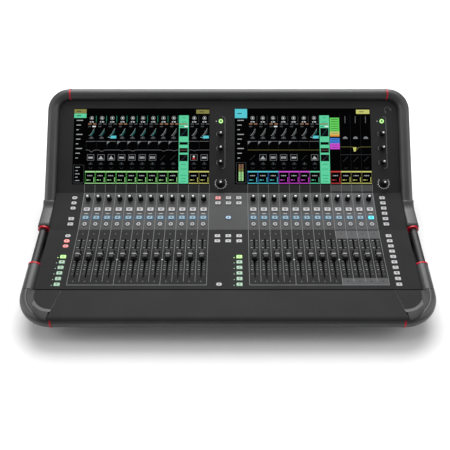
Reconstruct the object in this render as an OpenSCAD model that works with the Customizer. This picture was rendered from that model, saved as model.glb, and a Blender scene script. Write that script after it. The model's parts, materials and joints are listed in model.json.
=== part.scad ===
// Digital mixing console: two touch screens above a creased control surface with 24
// fader strips, carried in a bent tube frame with a hand grip on each side.
// Frame: +X to the user's right, +Y to the back, +Z up, in millimetres.
// The origin is on the table, under the middle of the console.

/* [Overall] */
// Width over the side tubes
console_w = 917; // [900:1:1120]
// Depth from the front bar to the back of the case
console_d = 627; // [600:1:760]
// Height from the table to the top of the top bar
console_h = 269; // [262:1:330]
// Height of the rubber feet
foot_h = 10; // [8:1:16]

/* [Top surfaces] */
// Slope of the screen panel, in degrees
screen_tilt = 37; // [33:1:41]
// Slope of the key panel, in degrees
key_tilt = 13; // [10:1:16]
// Slope of the fader panel and of the lower side tubes, in degrees
fader_tilt = 5; // [4:1:7]
// Length of the screen panel, from the key panel to the axis of the top bar
screen_l = 254; // [250:1:290]
// Length of the key panel
key_l = 108; // [106:1:130]
// Fader panel behind the fader slots
slot_lead = 27; // [24:1:40]
// Fader panel ahead of the fader slots
slot_tail = 32; // [28:1:45]
// Depth of the case behind the axis of the top bar
rear_l = 64; // [56:1:84]
// Thickness of the sheet metal
sheet_t = 2; // [1.5:0.1:3]
// Groove between the fader panel and the palm rest
groove_w = 2.4; // [1.5:0.1:4]

/* [Tube frame] */
// Outer diameter of the frame tube
tube_d = 28; // [24:0.4:34]
// Wall of the frame tube
tube_wall = 2.5; // [1.5:0.1:4]
// Bend radius of the upper corners, at the tube's axis
top_bend_r = 41; // [36:1:50]
// Bend radius of the front corners, at the tube's axis
front_bend_r = 66; // [55:1:75]
// Bend radius of the knee in the side tubes, at the tube's axis
knee_bend_r = 45; // [35:1:55]
// Diameter of the hand grips
grip_d = 18; // [16:0.5:21]
// Length of the hand grips, between the middles of their rings
grip_l = 105; // [90:1:125]
// Distance from the knee to the rear ring of a hand grip
grip_back = 66; // [60:1:75]
// Offset of the hand grips to the outside
grip_out = 2; // [0:0.5:3]
// Thickness of the trim rings
ring_t = 3.5; // [2:0.5:6]
// How far the trim rings stand proud of the tube
ring_proud = 0.8; // [0.4:0.1:1]
// Drop from the rear edge of the palm rest to the axis of the front bar
palm_drop = 13.3; // [11:0.1:16]

/* [Fader strips] */
// Pitch of the strips
strip_pitch = 26; // [21:0.1:27]
// Width between the two banks
bank_gap = 96; // [90:1:110]
// Travel of a fader
fader_travel = 100; // [80:1:120]
// Rest place of the faders, measured from the rear end of their travel
fader_rest = 45; // [20:1:60]
// Width of a fader cap
cap_w = 13; // [10:0.5:15]
// Length of a fader cap
cap_l = 27; // [22:0.5:30]
// Height of a fader cap at its shoulders
cap_h = 12; // [9:0.5:15]

/* [Keys and knobs] */
// Pitch of the key rows
row_pitch = 15.2; // [14:0.1:16]
// Travel of the keys
key_travel = 1; // [0.5:0.1:1.5]
// Width of a select key
select_w = 15; // [12:0.5:16]
// Length of a select key
select_l = 10; // [8:0.5:11]
// Width of a mix key
mix_w = 13; // [10:0.5:14]
// Length of a mix key
mix_l = 9; // [7:0.5:10]
// Diameter of a cue key
cue_d = 10; // [8:0.5:12]
// Width of a side key
side_key_w = 13; // [11:0.5:16]
// Length of a side key
side_key_l = 8.6; // [7:0.2:10]
// Diameter of a strip encoder knob
knob_d = 13; // [11:0.5:15]
// Height of a strip encoder knob
knob_h = 17; // [14:0.5:20]
// Diameter of the large knob beside each screen
main_knob_d = 17; // [14:0.5:20]
// Diameter of an encoder shaft
shaft_d = 6; // [5:0.5:6.5]

/* [Screens] */
// Width of the label column at the left of each screen
label_w = 32.5; // [26:0.5:40]
// Height of a screen
display_h = 196.5; // [180:0.5:200]
// Depth of a screen module behind the panel
display_depth = 16; // [12:1:24]

/* [Hidden] */
$fn = 64;

bank_strips = 12;      // each fader is a node, so their number is fixed
seat_gap = 0.3;        // between pieces that sit against each other
frame_gap = ring_proud + seat_gap;              // between the case and the frame tube
key_gap = 0.4;         // around a key in its hole
shaft_gap = 0.08;      // around a shaft in its bush
slot_w = 3.2;          // width of a fader slot
stem_w = 1.6;          // fader stem, across the slot
stem_l = 6;            // fader stem, along the slot
stem_gap = 2;          // past the stem at each end of the slot

tube_r = tube_d / 2;
side_x = console_w / 2 - tube_r;                // axis of the side tubes
body_half = side_x - tube_r - frame_gap;        // outer face of the case sides
slot_l = fader_travel + stem_l + 2 * stem_gap;
fader_l = slot_lead + slot_l + slot_tail;
display_w = label_w + bank_strips * strip_pitch;
screen_flat = screen_l - tube_r - frame_gap;    // length of the flat screen panel

// Section of the console as [Y, Z] points, from the top bar down to the front bar
function slope(a) = [cos(a), sin(a)];
function cross2(a, b) = a[0] * b[1] - a[1] * b[0];
top_axis = [console_d / 2 - rear_l, console_h - tube_r];
junction = top_axis - screen_l * slope(screen_tilt);
crease = junction - key_l * slope(key_tilt);
palm_edge = crease - fader_l * slope(fader_tilt);
front_axis = [tube_r - console_d / 2, palm_edge[1] - palm_drop];

// The knee is where the line of the lower tube meets the screen plane
rail_dir = slope(fader_tilt);
screen_dir = slope(screen_tilt);
reach = junction - front_axis;
knee_turn = screen_tilt - fader_tilt;
knee_t = cross2(reach, screen_dir) / sin(knee_turn);     // from the front bar, along the rail
knee_w = cross2(reach, rail_dir) / sin(knee_turn);       // from the junction, up the screen
knee_cut = knee_bend_r * tan(knee_turn / 2);
ring_rear_t = knee_t - grip_back;
ring_front_t = ring_rear_t - grip_l;
pocket_wall_x = body_half - 30;                 // recessed side wall behind a hand grip

// Points on the three top planes: distance down or up the slope, height off the surface
function on_plane(origin, a, s, h) = origin + s * slope(a) + h * [-sin(a), cos(a)];
function on_screen(w, h) = on_plane(junction, screen_tilt, w, h);
function on_key(v, h) = on_plane(junction, key_tilt, -v, h);
function on_fader(v, h) = on_plane(crease, fader_tilt, -v, h);

// Back of the case, from under the top bar to the floor
floor_edge = 12;                                // chamfer between the back and the floor
rear_line = [
    on_screen(screen_l - 12, -tube_r - frame_gap),
    [top_axis[0] + tube_r, top_axis[1] - tube_r - 5],
    [console_d / 2 - 15.5, console_h - 57],
    [console_d / 2, foot_h + 2 * floor_edge],
    [console_d / 2 - floor_edge, foot_h]];
rear_lean = atan2(rear_line[3][0] - rear_line[2][0], rear_line[2][1] - rear_line[3][1]);
rear_face_l = norm(rear_line[2] - rear_line[3]);

// Floor of the case: a nose that rises to the front bar, then the flat
nose_l = 95;                                    // from the front bar's axis to the flat floor
nose_line = [
    [front_axis[0] + tube_r + frame_gap, front_axis[1] - 8],
    [front_axis[0] + nose_l, foot_h]];

// Strips, counted from the left: 0 to 11 in the left bank, 12 to 23 in the right
strips = 2 * bank_strips;
bank_l = bank_strips * strip_pitch;
function strip_x(i) = i < bank_strips
    ? -bank_gap / 2 - bank_l + (i + 0.5) * strip_pitch
    : bank_gap / 2 + (i - bank_strips + 0.5) * strip_pitch;
encoder_v = 20;                                 // rows of a strip, down the key panel
select_v = 50;
mix_v = 73.6;
cue_v = 92.2;
cap_v = slot_lead + stem_gap + stem_l / 2 + fader_rest;   // fader cap at rest
side_x_keys = bank_gap / 2 + bank_l + 21.3;     // columns of keys outside the banks
key_row_v = 16.3;                               // first key row on the key panel
fader_row_v = 18.8;                             // first key row on the fader panel
function key_row(i) = key_row_v + i * row_pitch;
function fader_row(i) = fader_row_v + i * row_pitch;
centre_pitch = 25.8;

// Beside each screen: a key, three knobs and a large knob, in a column
strip_right = [-bank_gap / 2, bank_gap / 2 + bank_l];    // right edges of the two screens
column_off = 28.5;
display_w0 = (screen_flat - display_h) / 2;     // lower edge of a screen
screen_key_w = 184;
screen_knob_w = 150.5;
screen_knob_pitch = 36.8;
main_knob_w = 24;
screen_key_d = 11;

cap_under = 1;                                  // gap under a fader cap
board_h = 15;                                   // top of the key board below the panel
board_t = 1.6;
bush_w = 12;                                    // body of an encoder

// ---------------------------------------------------------------- helpers

module along_x(w) rotate([90, 0, 90]) linear_extrude(w, center = true) children();
module screen_frame() translate([0, junction[0], junction[1]]) rotate([screen_tilt, 0, 0]) children();
module key_frame() translate([0, junction[0], junction[1]]) rotate([key_tilt, 0, 0]) children();
module fader_frame() translate([0, crease[0], crease[1]]) rotate([fader_tilt, 0, 0]) children();
module rail_frame() translate([0, front_axis[0], front_axis[1]]) rotate([fader_tilt, 0, 0]) children();

// On the back face: X to the left of the console, Y up the face, Z outwards
module rear_frame()
    translate([0, rear_line[3][0], rear_line[3][1]]) rotate([90 - rear_lean, 0, 180]) children();

module both_sides() {
    children();
    mirror([1, 0, 0]) children();
}

// A line of points moved sideways by t, to the left of its direction, with sharp corners
function left_of(a, b) = let (d = (b - a) / norm(b - a)) [-d[1], d[0]];
function moved(p, t) = [for (i = [0 : len(p) - 1]) let (
    n0 = i > 0 ? left_of(p[i - 1], p[i]) : left_of(p[0], p[1]),
    n1 = i < len(p) - 1 ? left_of(p[i], p[i + 1]) : n0,
    m = n0 + n1) p[i] + m * 2 * t / (m * m)];
function reversed(p) = [for (i = [len(p) - 1 : -1 : 0]) p[i]];
function arc(c, r, a0, a1, n) = [for (i = [0 : n]) let (a = a0 + (a1 - a0) * i / n)
    c + r * [cos(a), sin(a)]];

module block(w, l, h0, h1) translate([-w / 2, -l / 2, h0]) cube([w, l, h1 - h0]);

module oval(w, l) {
    square([w - l, l], center = true);
    for (s = [-1, 1]) translate([s * (w - l) / 2, 0]) circle(d = l);
}

module pipe_section(d, wall) difference() {
    circle(d = d);
    circle(d = d - 2 * wall);
}

module pipe_y(l, d) rotate([-90, 0, 0]) linear_extrude(l) pipe_section(d, tube_wall);
module rod_y(l, d) rotate([-90, 0, 0]) cylinder(h = l, d = d);

// Plan of the space inside the tube frame, gap away from the tube
module frame_plan(gap) {
    r = front_bend_r - tube_r - gap;
    cx = side_x - front_bend_r;
    cy = front_axis[0] + front_bend_r;
    for (s = [-1, 1]) translate([s * cx, cy]) circle(r);
    translate([-cx, cy - r]) square([2 * cx, r + 1]);
    translate([-cx - r, cy]) square([2 * (cx + r), console_d / 2 - cy]);
}

// ---------------------------------------------------------------- case

// Sides of the case, as one outline; the panels sit on its top edge
module side_outline() {
    under = -sheet_t - seat_gap;
    back = moved(rear_line, under);
    web = casting_t + 1;                        // room for the corner castings
    bend_w = screen_l - top_bend_r;             // above it the tube turns over the case
    polygon(concat(
        nose_line,
        reversed(back),
        [on_screen(bend_w, -tube_r - frame_gap), on_screen(bend_w, under),
         on_screen(0, under), on_key(0, under),
         on_key(key_l, under), on_fader(0, under), on_fader(fader_l + groove_w / 2, under),
         on_fader(fader_l + groove_w / 2, -web), [nose_line[0][0], palm_edge[1] - web]]));
}

module base_pan() color([0.17, 0.17, 0.18]) {
    difference() {
        intersection() {
            along_x(2 * body_half) side_outline();
            linear_extrude(console_h) frame_plan(frame_gap);
        }
        intersection() {
            along_x(2 * body_half) case_cavity();
            translate([0, 0, foot_h]) linear_extrude(console_h) frame_plan(frame_gap + sheet_t);
        }
        both_sides() pocket_space(seat_gap);
        for (p = foot_places) translate([p[0], p[1], foot_h - 1]) cylinder(h = sheet_t + 2, d = 5);
        floor_vents();
    }
    both_sides() pocket_wall();
}

// The inside of the case: open at the top and at the back
module case_cavity() {
    inside = moved(nose_line, sheet_t);
    polygon([inside[0], [inside[1][0], foot_h + sheet_t], [console_d / 2, foot_h + sheet_t],
             [console_d / 2, console_h], [inside[0][0], console_h]]);
}

// Finger pocket beside a hand grip, cut through the side of the case
pocket_y = [front_axis[0] + ring_front_t * cos(fader_tilt), front_axis[0] + ring_rear_t * cos(fader_tilt)];
module pocket_space(grow)
    translate([pocket_wall_x, pocket_y[0], foot_h + sheet_t])
        cube([body_half - pocket_wall_x + grow, pocket_y[1] - pocket_y[0], console_h]);

// Recessed wall of the pocket, with a return at each end
module pocket_wall() {
    intersection() {
        difference() {
            translate([pocket_wall_x - sheet_t, pocket_y[0] - sheet_t, foot_h + sheet_t])
                cube([body_half - pocket_wall_x + sheet_t, pocket_y[1] - pocket_y[0] + 2 * sheet_t, crease[1]]);
            pocket_space(1);
        }
        along_x(2 * body_half) side_outline();
    }
}

// Rows of narrow slots in the floor, under the power supply and the boards
module floor_vents()
    for (x = [-300, -60, 180], i = [0 : 5])
        translate([x + i * 18, 120, foot_h - 1]) cube([5, 60, sheet_t + 2]);

module rear_panel() color([0.16, 0.16, 0.17]) {
    difference() {
        along_x(2 * body_half) polygon(concat(rear_line, reversed(moved(rear_line, -sheet_t))));
        rear_frame() translate([0, 0, -2 * sheet_t]) linear_extrude(4 * sheet_t) rear_holes();
        rear_frame() for (p = rear_screw_places)
            translate([p[0], p[1], -2 * sheet_t]) cylinder(h = 4 * sheet_t, d = screw_hole_d, $fn = 24);
    }
    // blank plates over the two card bays
    rear_frame() for (x = card_x) translate([x, socket_y[1], 0]) block(card_w, card_l, 0, 1.5);
}

// ---------------------------------------------------------------- back face

socket_pitch = 33;
socket_count = 12;
socket_y = [140, 96];                           // row of inputs, row of outputs
socket_x0 = -360;
socket_d = 22;
socket_hole_d = 23;
card_x = [110, 285];
card_w = 150;
card_l = 44;
net_x = [50, 80];
net_y = 52;
inlet_x = -345;
inlet_y = 46;
switch_x = -312;
switch_mouth = 13;
screw_hole_d = 3.4;
rear_screw_places = [for (s = [-1, 1], x = [60 : 90 : 420], y = [14, rear_face_l - 10]) [s * x, y]];
foot_places = [for (x = [-1, 0, 1], y = [-1, 1]) [x * (body_half - 55), y * 215 + 40]];

module rear_holes() {
    for (i = [0 : socket_count - 1], y = socket_y)
        translate([socket_x0 + i * socket_pitch, y]) circle(d = socket_hole_d);
    for (x = net_x) translate([x, net_y]) square([17, 15], center = true);
    translate([inlet_x, inlet_y]) square([29, 22], center = true);
    translate([switch_x, inlet_y]) square([17, 24], center = true);
}

module input_socket() {
    difference() {
        union() {
            block(26, 31, 0, 2);
            translate([0, 0, -18]) cylinder(h = 18.5, d = socket_d);
        }
        translate([0, 0, 0.8]) difference() {
            cylinder(h = 2, d = 20);
            translate([0, 0, -1]) cylinder(h = 4, d = 17);
        }
    }
}

module output_socket() {
    difference() {
        union() {
            block(26, 31, 0, 2);
            translate([0, 0, -18]) cylinder(h = 18.5, d = socket_d);
        }
        translate([0, 0, -12]) cylinder(h = 20, d = 18.6);
    }
}

// A box-shaped socket with an open mouth
module box_socket(w, l, mouth_w, mouth_l, depth) difference() {
    block(w, l, -depth - 2, 1.5);
    block(mouth_w, mouth_l, -depth, 3);
}

module rear_sockets() color([0.09, 0.09, 0.1]) rear_frame() {
    for (i = [0 : socket_count - 1]) {
        translate([socket_x0 + i * socket_pitch, socket_y[0], 0]) input_socket();
        translate([socket_x0 + i * socket_pitch, socket_y[1], 0]) output_socket();
    }
    for (x = net_x) translate([x, net_y, 0]) box_socket(16, 14, 12, 9, 12);
    translate([inlet_x, inlet_y, 0]) box_socket(28, 21, 24, 17, 14);
    translate([switch_x, inlet_y, 0]) box_socket(16, 23, switch_mouth, 20, 12);
}

// Rocker of the mains switch, tipped about a pin across its housing
rocker_h = -3;
rocker_tip = 6;
module mains_switch() color([0.6, 0.05, 0.05]) rear_frame() translate([switch_x, inlet_y, rocker_h])
    rotate([90, 0, 90]) rotate(-rocker_tip) linear_extrude(switch_mouth - 2 * seat_gap, center = true)
        polygon([[-8.4, -3], [8.4, -3], [8.4, 4.4], [0, 3], [-8.4, 4.4]]);

// ---------------------------------------------------------------- panels

module control_panel() color([0.2, 0.2, 0.21]) {
    fader_end = fader_l - groove_w / 2;
    fader_frame() translate([0, 0, -sheet_t]) linear_extrude(sheet_t) difference() {
        translate([-body_half, -fader_end]) square([2 * body_half, fader_end]);
        for (i = [0 : strips - 1])
            translate([strip_x(i) - slot_w / 2, -slot_lead - slot_l]) square([slot_w, slot_l]);
        side_key_holes(false);
    }
    key_frame() translate([0, 0, -sheet_t]) linear_extrude(sheet_t) difference() {
        translate([-body_half, -key_l]) square([2 * body_half, key_l]);
        for (i = [0 : strips - 1]) translate([strip_x(i), 0]) {
            translate([0, -encoder_v]) circle(d = shaft_d + 1.2);
            translate([0, -select_v]) square([select_w, select_l] + 2 * [key_gap, key_gap], center = true);
            translate([0, -mix_v]) square([mix_w, mix_l] + 2 * [key_gap, key_gap], center = true);
            translate([0, -cue_v]) circle(d = cue_d + 2 * key_gap);
        }
        side_key_holes(true);
    }
    // fold of the sheet at the crease, and the lip at the front edge
    fold = [on_key(key_l - 3, 0), crease, on_fader(3, 0)];
    along_x(2 * body_half) polygon(concat(moved(fold, 0.3), reversed(moved(fold, sheet_t - 0.3))));
    fader_frame() translate([0, -fader_end + sheet_t / 2, 0])
        block(2 * (body_half - 2 * sheet_t), sheet_t, -10, -sheet_t / 2);
}

// Side and centre keys as [x, v, oval], on the key panel (upper) or the fader panel
function left_column(upper) = upper
    ? concat([for (i = [0 : 2]) [-side_x_keys, key_row(i), true]],
             [for (i = [4 : 5]) [-side_x_keys, key_row(i), false]])
    : concat([for (i = [0 : 2]) [-side_x_keys, fader_row(i), true]],
             [for (i = [4 : 9]) [-side_x_keys, fader_row(i), false]]);
function centre_column(upper) = upper
    ? concat([for (i = [0 : 1], k = [-1 : 1]) [k * centre_pitch, key_row(i), false]],
             [[0, mix_v, true]])
    : concat([for (i = [0 : 1], k = [-1 : 1]) [k * centre_pitch, fader_row(i), false]],
             [for (i = [4 : 9]) [centre_pitch, fader_row(i), false]],
             [[-20, fader_row(9), true]]);
function right_column(upper) = upper
    ? [for (i = [0 : 5]) [side_x_keys, key_row(i), false]]
    : [for (i = [0 : 9]) [side_x_keys, fader_row(i), false]];

module key_plan(key, grow) translate([key[0], -key[1]])
    if (key[2]) oval(side_key_w + 2 * grow, side_key_l + 2 * grow);
    else square([side_key_w, side_key_l] + 2 * [grow, grow], center = true);

module side_key_holes(upper)
    for (key = concat(left_column(upper), centre_column(upper), right_column(upper)))
        key_plan(key, key_gap);

module screen_panel() color([0.17, 0.17, 0.18]) screen_frame() {
    r = top_bend_r - tube_r - frame_gap;
    translate([0, 0, -sheet_t]) linear_extrude(sheet_t) difference() {
        union() {
            translate([-body_half, seat_gap]) square([2 * body_half, screen_flat - r - seat_gap]);
            translate([r - body_half, 1]) square([2 * (body_half - r), screen_flat - 1]);
            for (s = [-1, 1]) translate([s * (body_half - r), screen_flat - r]) circle(r);
        }
        for (x = strip_right) {
            translate([x - display_w, display_w0]) square([display_w, display_h]);
            translate([x + column_off, 0]) {
                translate([0, screen_key_w]) circle(d = screen_key_d + 2 * key_gap);
                for (k = [0 : 2]) translate([0, screen_knob_w - k * screen_knob_pitch]) circle(d = shaft_d + 1.2);
                translate([0, main_knob_w]) circle(d = shaft_d + 1.2);
            }
        }
    }
    translate([0, screen_flat - sheet_t / 2, 0]) block(2 * (body_half - r), sheet_t, -10, -sheet_t / 2);
}

// Palm rest: a sheet that runs forwards from the groove and rolls over the front bar
lip_gap = ring_proud + 0.4;
lip_end = 125;                                  // angle at which the rolled edge ends
lip_reach = palm_edge - front_axis;
function palm_section(t) = let (
    r = tube_r + lip_gap + sheet_t,
    a0 = atan2(lip_reach[1], lip_reach[0]) + acos(r / norm(lip_reach)),
    top = arc(front_axis, r, a0, lip_end, 10),
    d = (top[0] - palm_edge) / norm(top[0] - palm_edge),
    start = palm_edge + d * groove_w / 2,
    down = [d[1], -d[0]])
    concat([start], top, reversed(arc(front_axis, r - t, a0, lip_end, 10)), [start - t * down]);

// Seam between the palm rest and a corner casting, from the groove to the front
seam_rear = body_half - 62;
seam_front = seam_rear + 17;
module palm_plan(grow) {
    y0 = -console_d / 2 - 1;
    polygon([[-seam_front - grow, y0], [seam_front + grow, y0],
             [seam_rear + grow, palm_edge[0] + 2], [-seam_rear - grow, palm_edge[0] + 2]]);
}

module palm_rest() color([0.25, 0.25, 0.26]) intersection() {
    along_x(2 * body_half) polygon(palm_section(sheet_t));
    linear_extrude(console_h) palm_plan(0);
}

// ---------------------------------------------------------------- tube frame

module top_bar() color([0.33, 0.33, 0.34]) screen_frame() {
    l = 2 * (side_x - top_bend_r - ring_t);
    translate([-l / 2, screen_l, 0]) rotate([90, 0, 90]) linear_extrude(l) pipe_section(tube_d, tube_wall);
}

module front_bar() color([0.33, 0.33, 0.34]) rail_frame() {
    l = 2 * (side_x - front_bend_r - ring_t);
    translate([-l / 2, 0, 0]) rotate([90, 0, 90]) linear_extrude(l) pipe_section(tube_d, tube_wall);
}

// Side tube from the rear ring of the grip, round the knee and up to the top bar.
// Its straights lap a little over the bends and are a hair wider than them.
bend_lap = 1;
bend_sleeve = 0.04;
module upper_rod(d) {
    start = ring_rear_t + ring_t / 2;
    knee_start = front_axis + (knee_t - knee_cut) * rail_dir;
    centre = knee_start + knee_bend_r * [-rail_dir[1], rail_dir[0]];
    rail_frame() translate([side_x, start, 0])
        rod_y(knee_t - knee_cut - start + bend_lap, d + bend_sleeve);
    translate([side_x, centre[0], centre[1]]) rotate([90, 0, 90]) rotate([0, 0, fader_tilt - 90])
        rotate_extrude(angle = knee_turn) translate([knee_bend_r, 0]) circle(d = d);
    screen_frame() {
        translate([side_x, knee_w + knee_cut - bend_lap, 0])
            rod_y(screen_l - top_bend_r - knee_w - knee_cut + 2 * bend_lap, d + bend_sleeve);
        translate([side_x - top_bend_r, screen_l - top_bend_r, 0])
            rotate_extrude(angle = 90) translate([top_bend_r, 0]) circle(d = d);
    }
}
module upper_corners() color([0.35, 0.35, 0.36]) both_sides() difference() {
    upper_rod(tube_d);
    upper_rod(tube_d - 2 * tube_wall);
}

module hand_grips() color([0.12, 0.12, 0.13]) both_sides() rail_frame()
    translate([side_x + grip_out, ring_front_t + ring_t / 2, 0]) pipe_y(grip_l - ring_t, grip_d);

// Cast front corner with its web, and the plain sleeve behind it
joint_gap = 0.8;
casting_t = 12;                                 // thickness of the web
casting_lap = 3.5;                              // the web runs into the tube by this much
module front_corners() color([0.33, 0.33, 0.34]) both_sides() {
    joint_t = (palm_edge[0] - front_axis[0]) / cos(fader_tilt);
    rail_frame() {
        translate([side_x, joint_t + joint_gap / 2, 0])
            rod_y(ring_front_t - ring_t / 2 - joint_t - joint_gap / 2, tube_d);
        translate([side_x, front_bend_r, 0]) rod_y(joint_t - joint_gap / 2 - front_bend_r, tube_d);
        translate([side_x - front_bend_r, front_bend_r, 0]) rotate([0, 0, -90])
            rotate_extrude(angle = 90) translate([front_bend_r, 0]) circle(d = tube_d);
    }
    intersection() {
        along_x(console_w) polygon(palm_section(casting_t));
        linear_extrude(console_h) difference() {
            frame_plan(-casting_lap);
            palm_plan(seat_gap);
            translate([-console_w, -console_d]) square([console_w, 2 * console_d]);
            translate([0, palm_edge[0] - groove_w / 2]) square(console_w);
        }
    }
}

module trim_rings() color([0.8, 0.13, 0.17]) both_sides() {
    d = tube_d + 2 * ring_proud;
    rail_frame() {
        for (t = [ring_front_t, ring_rear_t]) translate([side_x, t - ring_t / 2, 0]) rod_y(ring_t, d);
        translate([side_x - front_bend_r - ring_t, 0, 0]) rotate([0, 90, 0]) cylinder(h = ring_t, d = d);
    }
    screen_frame() translate([side_x - top_bend_r - ring_t, screen_l, 0])
        rotate([0, 90, 0]) cylinder(h = ring_t, d = d);
}

// ---------------------------------------------------------------- screens, knobs and keys

module display(x_right) color([0.03, 0.03, 0.04]) screen_frame()
    translate([x_right - display_w / 2, display_w0 + display_h / 2, 0]) {
        block(display_w - 2 * seat_gap, display_h - 2 * seat_gap, -sheet_t, 0.2);
        block(display_w - 8, display_h - 8, -display_depth, -sheet_t);
    }
module display_left() display(strip_right[0]);
module display_right() display(strip_right[1]);

// Knob with a tapered body, a domed tip and the shaft under it
module knob(d, h) {
    translate([0, 0, 1]) cylinder(h = h - 4, d1 = d, d2 = d - 1.4);
    translate([0, 0, h - 3]) cylinder(h = 3, d1 = d - 4, d2 = d - 7);
    translate([0, 0, -board_h + 1]) cylinder(h = board_h + 1, d = shaft_d);
}

module encoder_knobs() color([0.08, 0.08, 0.09]) key_frame()
    for (i = [0 : strips - 1]) translate([strip_x(i), -encoder_v, 0]) knob(knob_d, knob_h);

module screen_knob(side, k) color([0.08, 0.08, 0.09]) screen_frame()
    translate([strip_right[side] + column_off, screen_knob_w - k * screen_knob_pitch, 0])
        knob(knob_d - 1, knob_h);

module main_knob(side) color([0.08, 0.08, 0.09]) screen_frame()
    translate([strip_right[side] + column_off, main_knob_w, 0]) knob(main_knob_d, knob_h + 1);

// A key: the cap through the panel, a wider foot under it and a plunger
key_up = 2;
key_foot = 0.8;
module key_solid() {
    translate([0, 0, -sheet_t - seat_gap]) linear_extrude(key_up + sheet_t + seat_gap) children(0);
    translate([0, 0, -sheet_t - seat_gap - 2]) linear_extrude(2) children(1);
    translate([0, 0, -board_h + key_travel + 0.5]) cylinder(h = board_h - sheet_t - 2 - key_travel, d = 4);
}

module rect_key(w, l) key_solid() {
    square([w, l], center = true);
    square([w, l] + 2 * [key_foot, key_foot], center = true);
}

module round_key(d) key_solid() {
    circle(d = d);
    circle(d = d + 2 * key_foot);
}

module column_keys(keys) for (key = keys) translate([key[0], -key[1], 0])
    if (key[2]) key_solid() {
        oval(side_key_w, side_key_l);
        oval(side_key_w + 2 * key_foot, side_key_l + 2 * key_foot);
    } else rect_key(side_key_w, side_key_l);

module select_keys() color([0.9, 0.88, 0.88]) key_frame()
    for (i = [0 : strips - 1]) translate([strip_x(i), -select_v, 0]) rect_key(select_w, select_l);
module mix_keys() color([0.7, 0.85, 0.9]) key_frame()
    for (i = [0 : strips - 1]) translate([strip_x(i), -mix_v, 0]) rect_key(mix_w, mix_l);
module cue_keys() color([0.9, 0.9, 0.9]) key_frame()
    for (i = [0 : strips - 1]) translate([strip_x(i), -cue_v, 0]) round_key(cue_d);
module left_keys() color([0.9, 0.9, 0.88]) {
    key_frame() column_keys(left_column(true));
    fader_frame() column_keys(left_column(false));
}
module centre_keys() color([0.9, 0.9, 0.9]) {
    key_frame() column_keys(centre_column(true));
    fader_frame() column_keys(centre_column(false));
}
module right_keys() color([0.92, 0.92, 0.92]) {
    key_frame() column_keys(right_column(true));
    fader_frame() column_keys(right_column(false));
}
module screen_keys() color([0.3, 0.8, 0.3]) screen_frame()
    for (x = strip_right) translate([x + column_off, screen_key_w, 0]) round_key(screen_key_d);

// ---------------------------------------------------------------- faders

// Cap with two shoulders and a dip for the finger, the stem in the slot and the carriage
track_top = -sheet_t - seat_gap;
track_h = 15;
module fader(i) color([0.1, 0.1, 0.11]) fader_frame() translate([strip_x(i), -cap_v, 0]) {
    half = cap_l / 2;
    rotate([90, 0, 90]) linear_extrude(cap_w, center = true)
        polygon([[-half, cap_under], [half, cap_under], [half, cap_h / 2], [half - 3, cap_h],
                 [half - 6, cap_h], [1, cap_h - 1.6], [-1, cap_h - 1.6],
                 [6 - half, cap_h], [3 - half, cap_h], [-half, cap_h / 2]]);
    block(stem_w, stem_l, track_top - 8, cap_under + 2);
    block(8, stem_l + 4, track_top - 11, track_top - 6);
}

// Track with its carriage space and slot, and the motor that drives the belt under it
module fader_unit() {
    mid = -slot_lead - slot_l / 2;
    translate([0, mid, 0]) difference() {
        block(13, slot_l + 22, track_top - track_h, track_top);
        block(slot_w + 1, slot_l + 6, track_top - 6, track_top + 1);
        block(10, slot_l + 10, track_top - 13, track_top - 4);
    }
    translate([0, -slot_lead - 12, track_top - track_h - 22]) cylinder(h = 22.5, d = 17);
}
module fader_units() color([0.55, 0.56, 0.58]) fader_frame()
    for (i = [0 : strips - 1]) translate([strip_x(i), 0, 0]) fader_unit();

// ---------------------------------------------------------------- inside

// An encoder: its body stands on the board and guides the shaft
module encoder_body() difference() {
    block(bush_w, bush_w, -board_h, -board_h + 8);
    translate([0, 0, -board_h - 1]) cylinder(h = 10, d = shaft_d + 2 * shaft_gap);
}

module circuit_boards() color([0.05, 0.3, 0.15]) {
    // board under the key panel, hung on four posts
    key_frame() {
        translate([0, -key_l / 2 + 2, 0]) block(2 * side_x_keys + 36, key_l - 14, -board_h - board_t, -board_h);
        for (i = [0 : strips - 1]) translate([strip_x(i), -encoder_v, 0]) encoder_body();
        for (x = [-1, 1], v = [35, key_l - 8]) translate([x * (side_x_keys + 13), -v, -board_h])
            cylinder(h = board_h - sheet_t - 0.1, d = 6);
    }
    // board behind each column of screen controls
    screen_frame() for (x = strip_right) translate([x + column_off, 0, 0]) {
        translate([0, screen_flat / 2 - 10, 0]) block(32, screen_flat - 32, -board_h - board_t, -board_h);
        for (k = [0 : 2]) translate([0, screen_knob_w - k * screen_knob_pitch, 0]) encoder_body();
        translate([0, main_knob_w, 0]) encoder_body();
        for (w = [screen_key_w + 14, main_knob_w + 22])
            translate([0, w, -board_h]) cylinder(h = board_h - sheet_t - 0.1, d = 6);
    }
    // main board on posts above the floor
    main_z = foot_h + sheet_t + 8;
    translate([-150, 40, main_z]) cube([420, 150, board_t]);
    for (x = [-140, 60, 260], y = [50, 180]) translate([x, y, foot_h + sheet_t + 0.1])
        cylinder(h = 8, d = 6);
    // board behind the rear sockets
    rear_frame() translate([socket_x0 + socket_pitch * (socket_count - 1) / 2, (socket_y[0] + socket_y[1]) / 2, 0])
        block(socket_pitch * socket_count, 90, -18 - board_t, -18);
}

module power_supply() color([0.6, 0.61, 0.62])
    translate([-380, 90, foot_h + sheet_t + 0.1]) {
        cube([190, 120, 50]);
        for (k = [0 : 5]) translate([190, 12 + k * 18, 8]) cube([1.5, 6, 34]);
    }

module rubber_feet() color([0.06, 0.06, 0.06]) for (p = foot_places) translate([p[0], p[1], 0])
    difference() {
        union() {
            cylinder(h = foot_h, d1 = 24, d2 = 28);
            cylinder(h = foot_h + sheet_t + 1, d = 4.6);
        }
        translate([0, 0, -1]) cylinder(h = 4, d = 9);
    }

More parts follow.
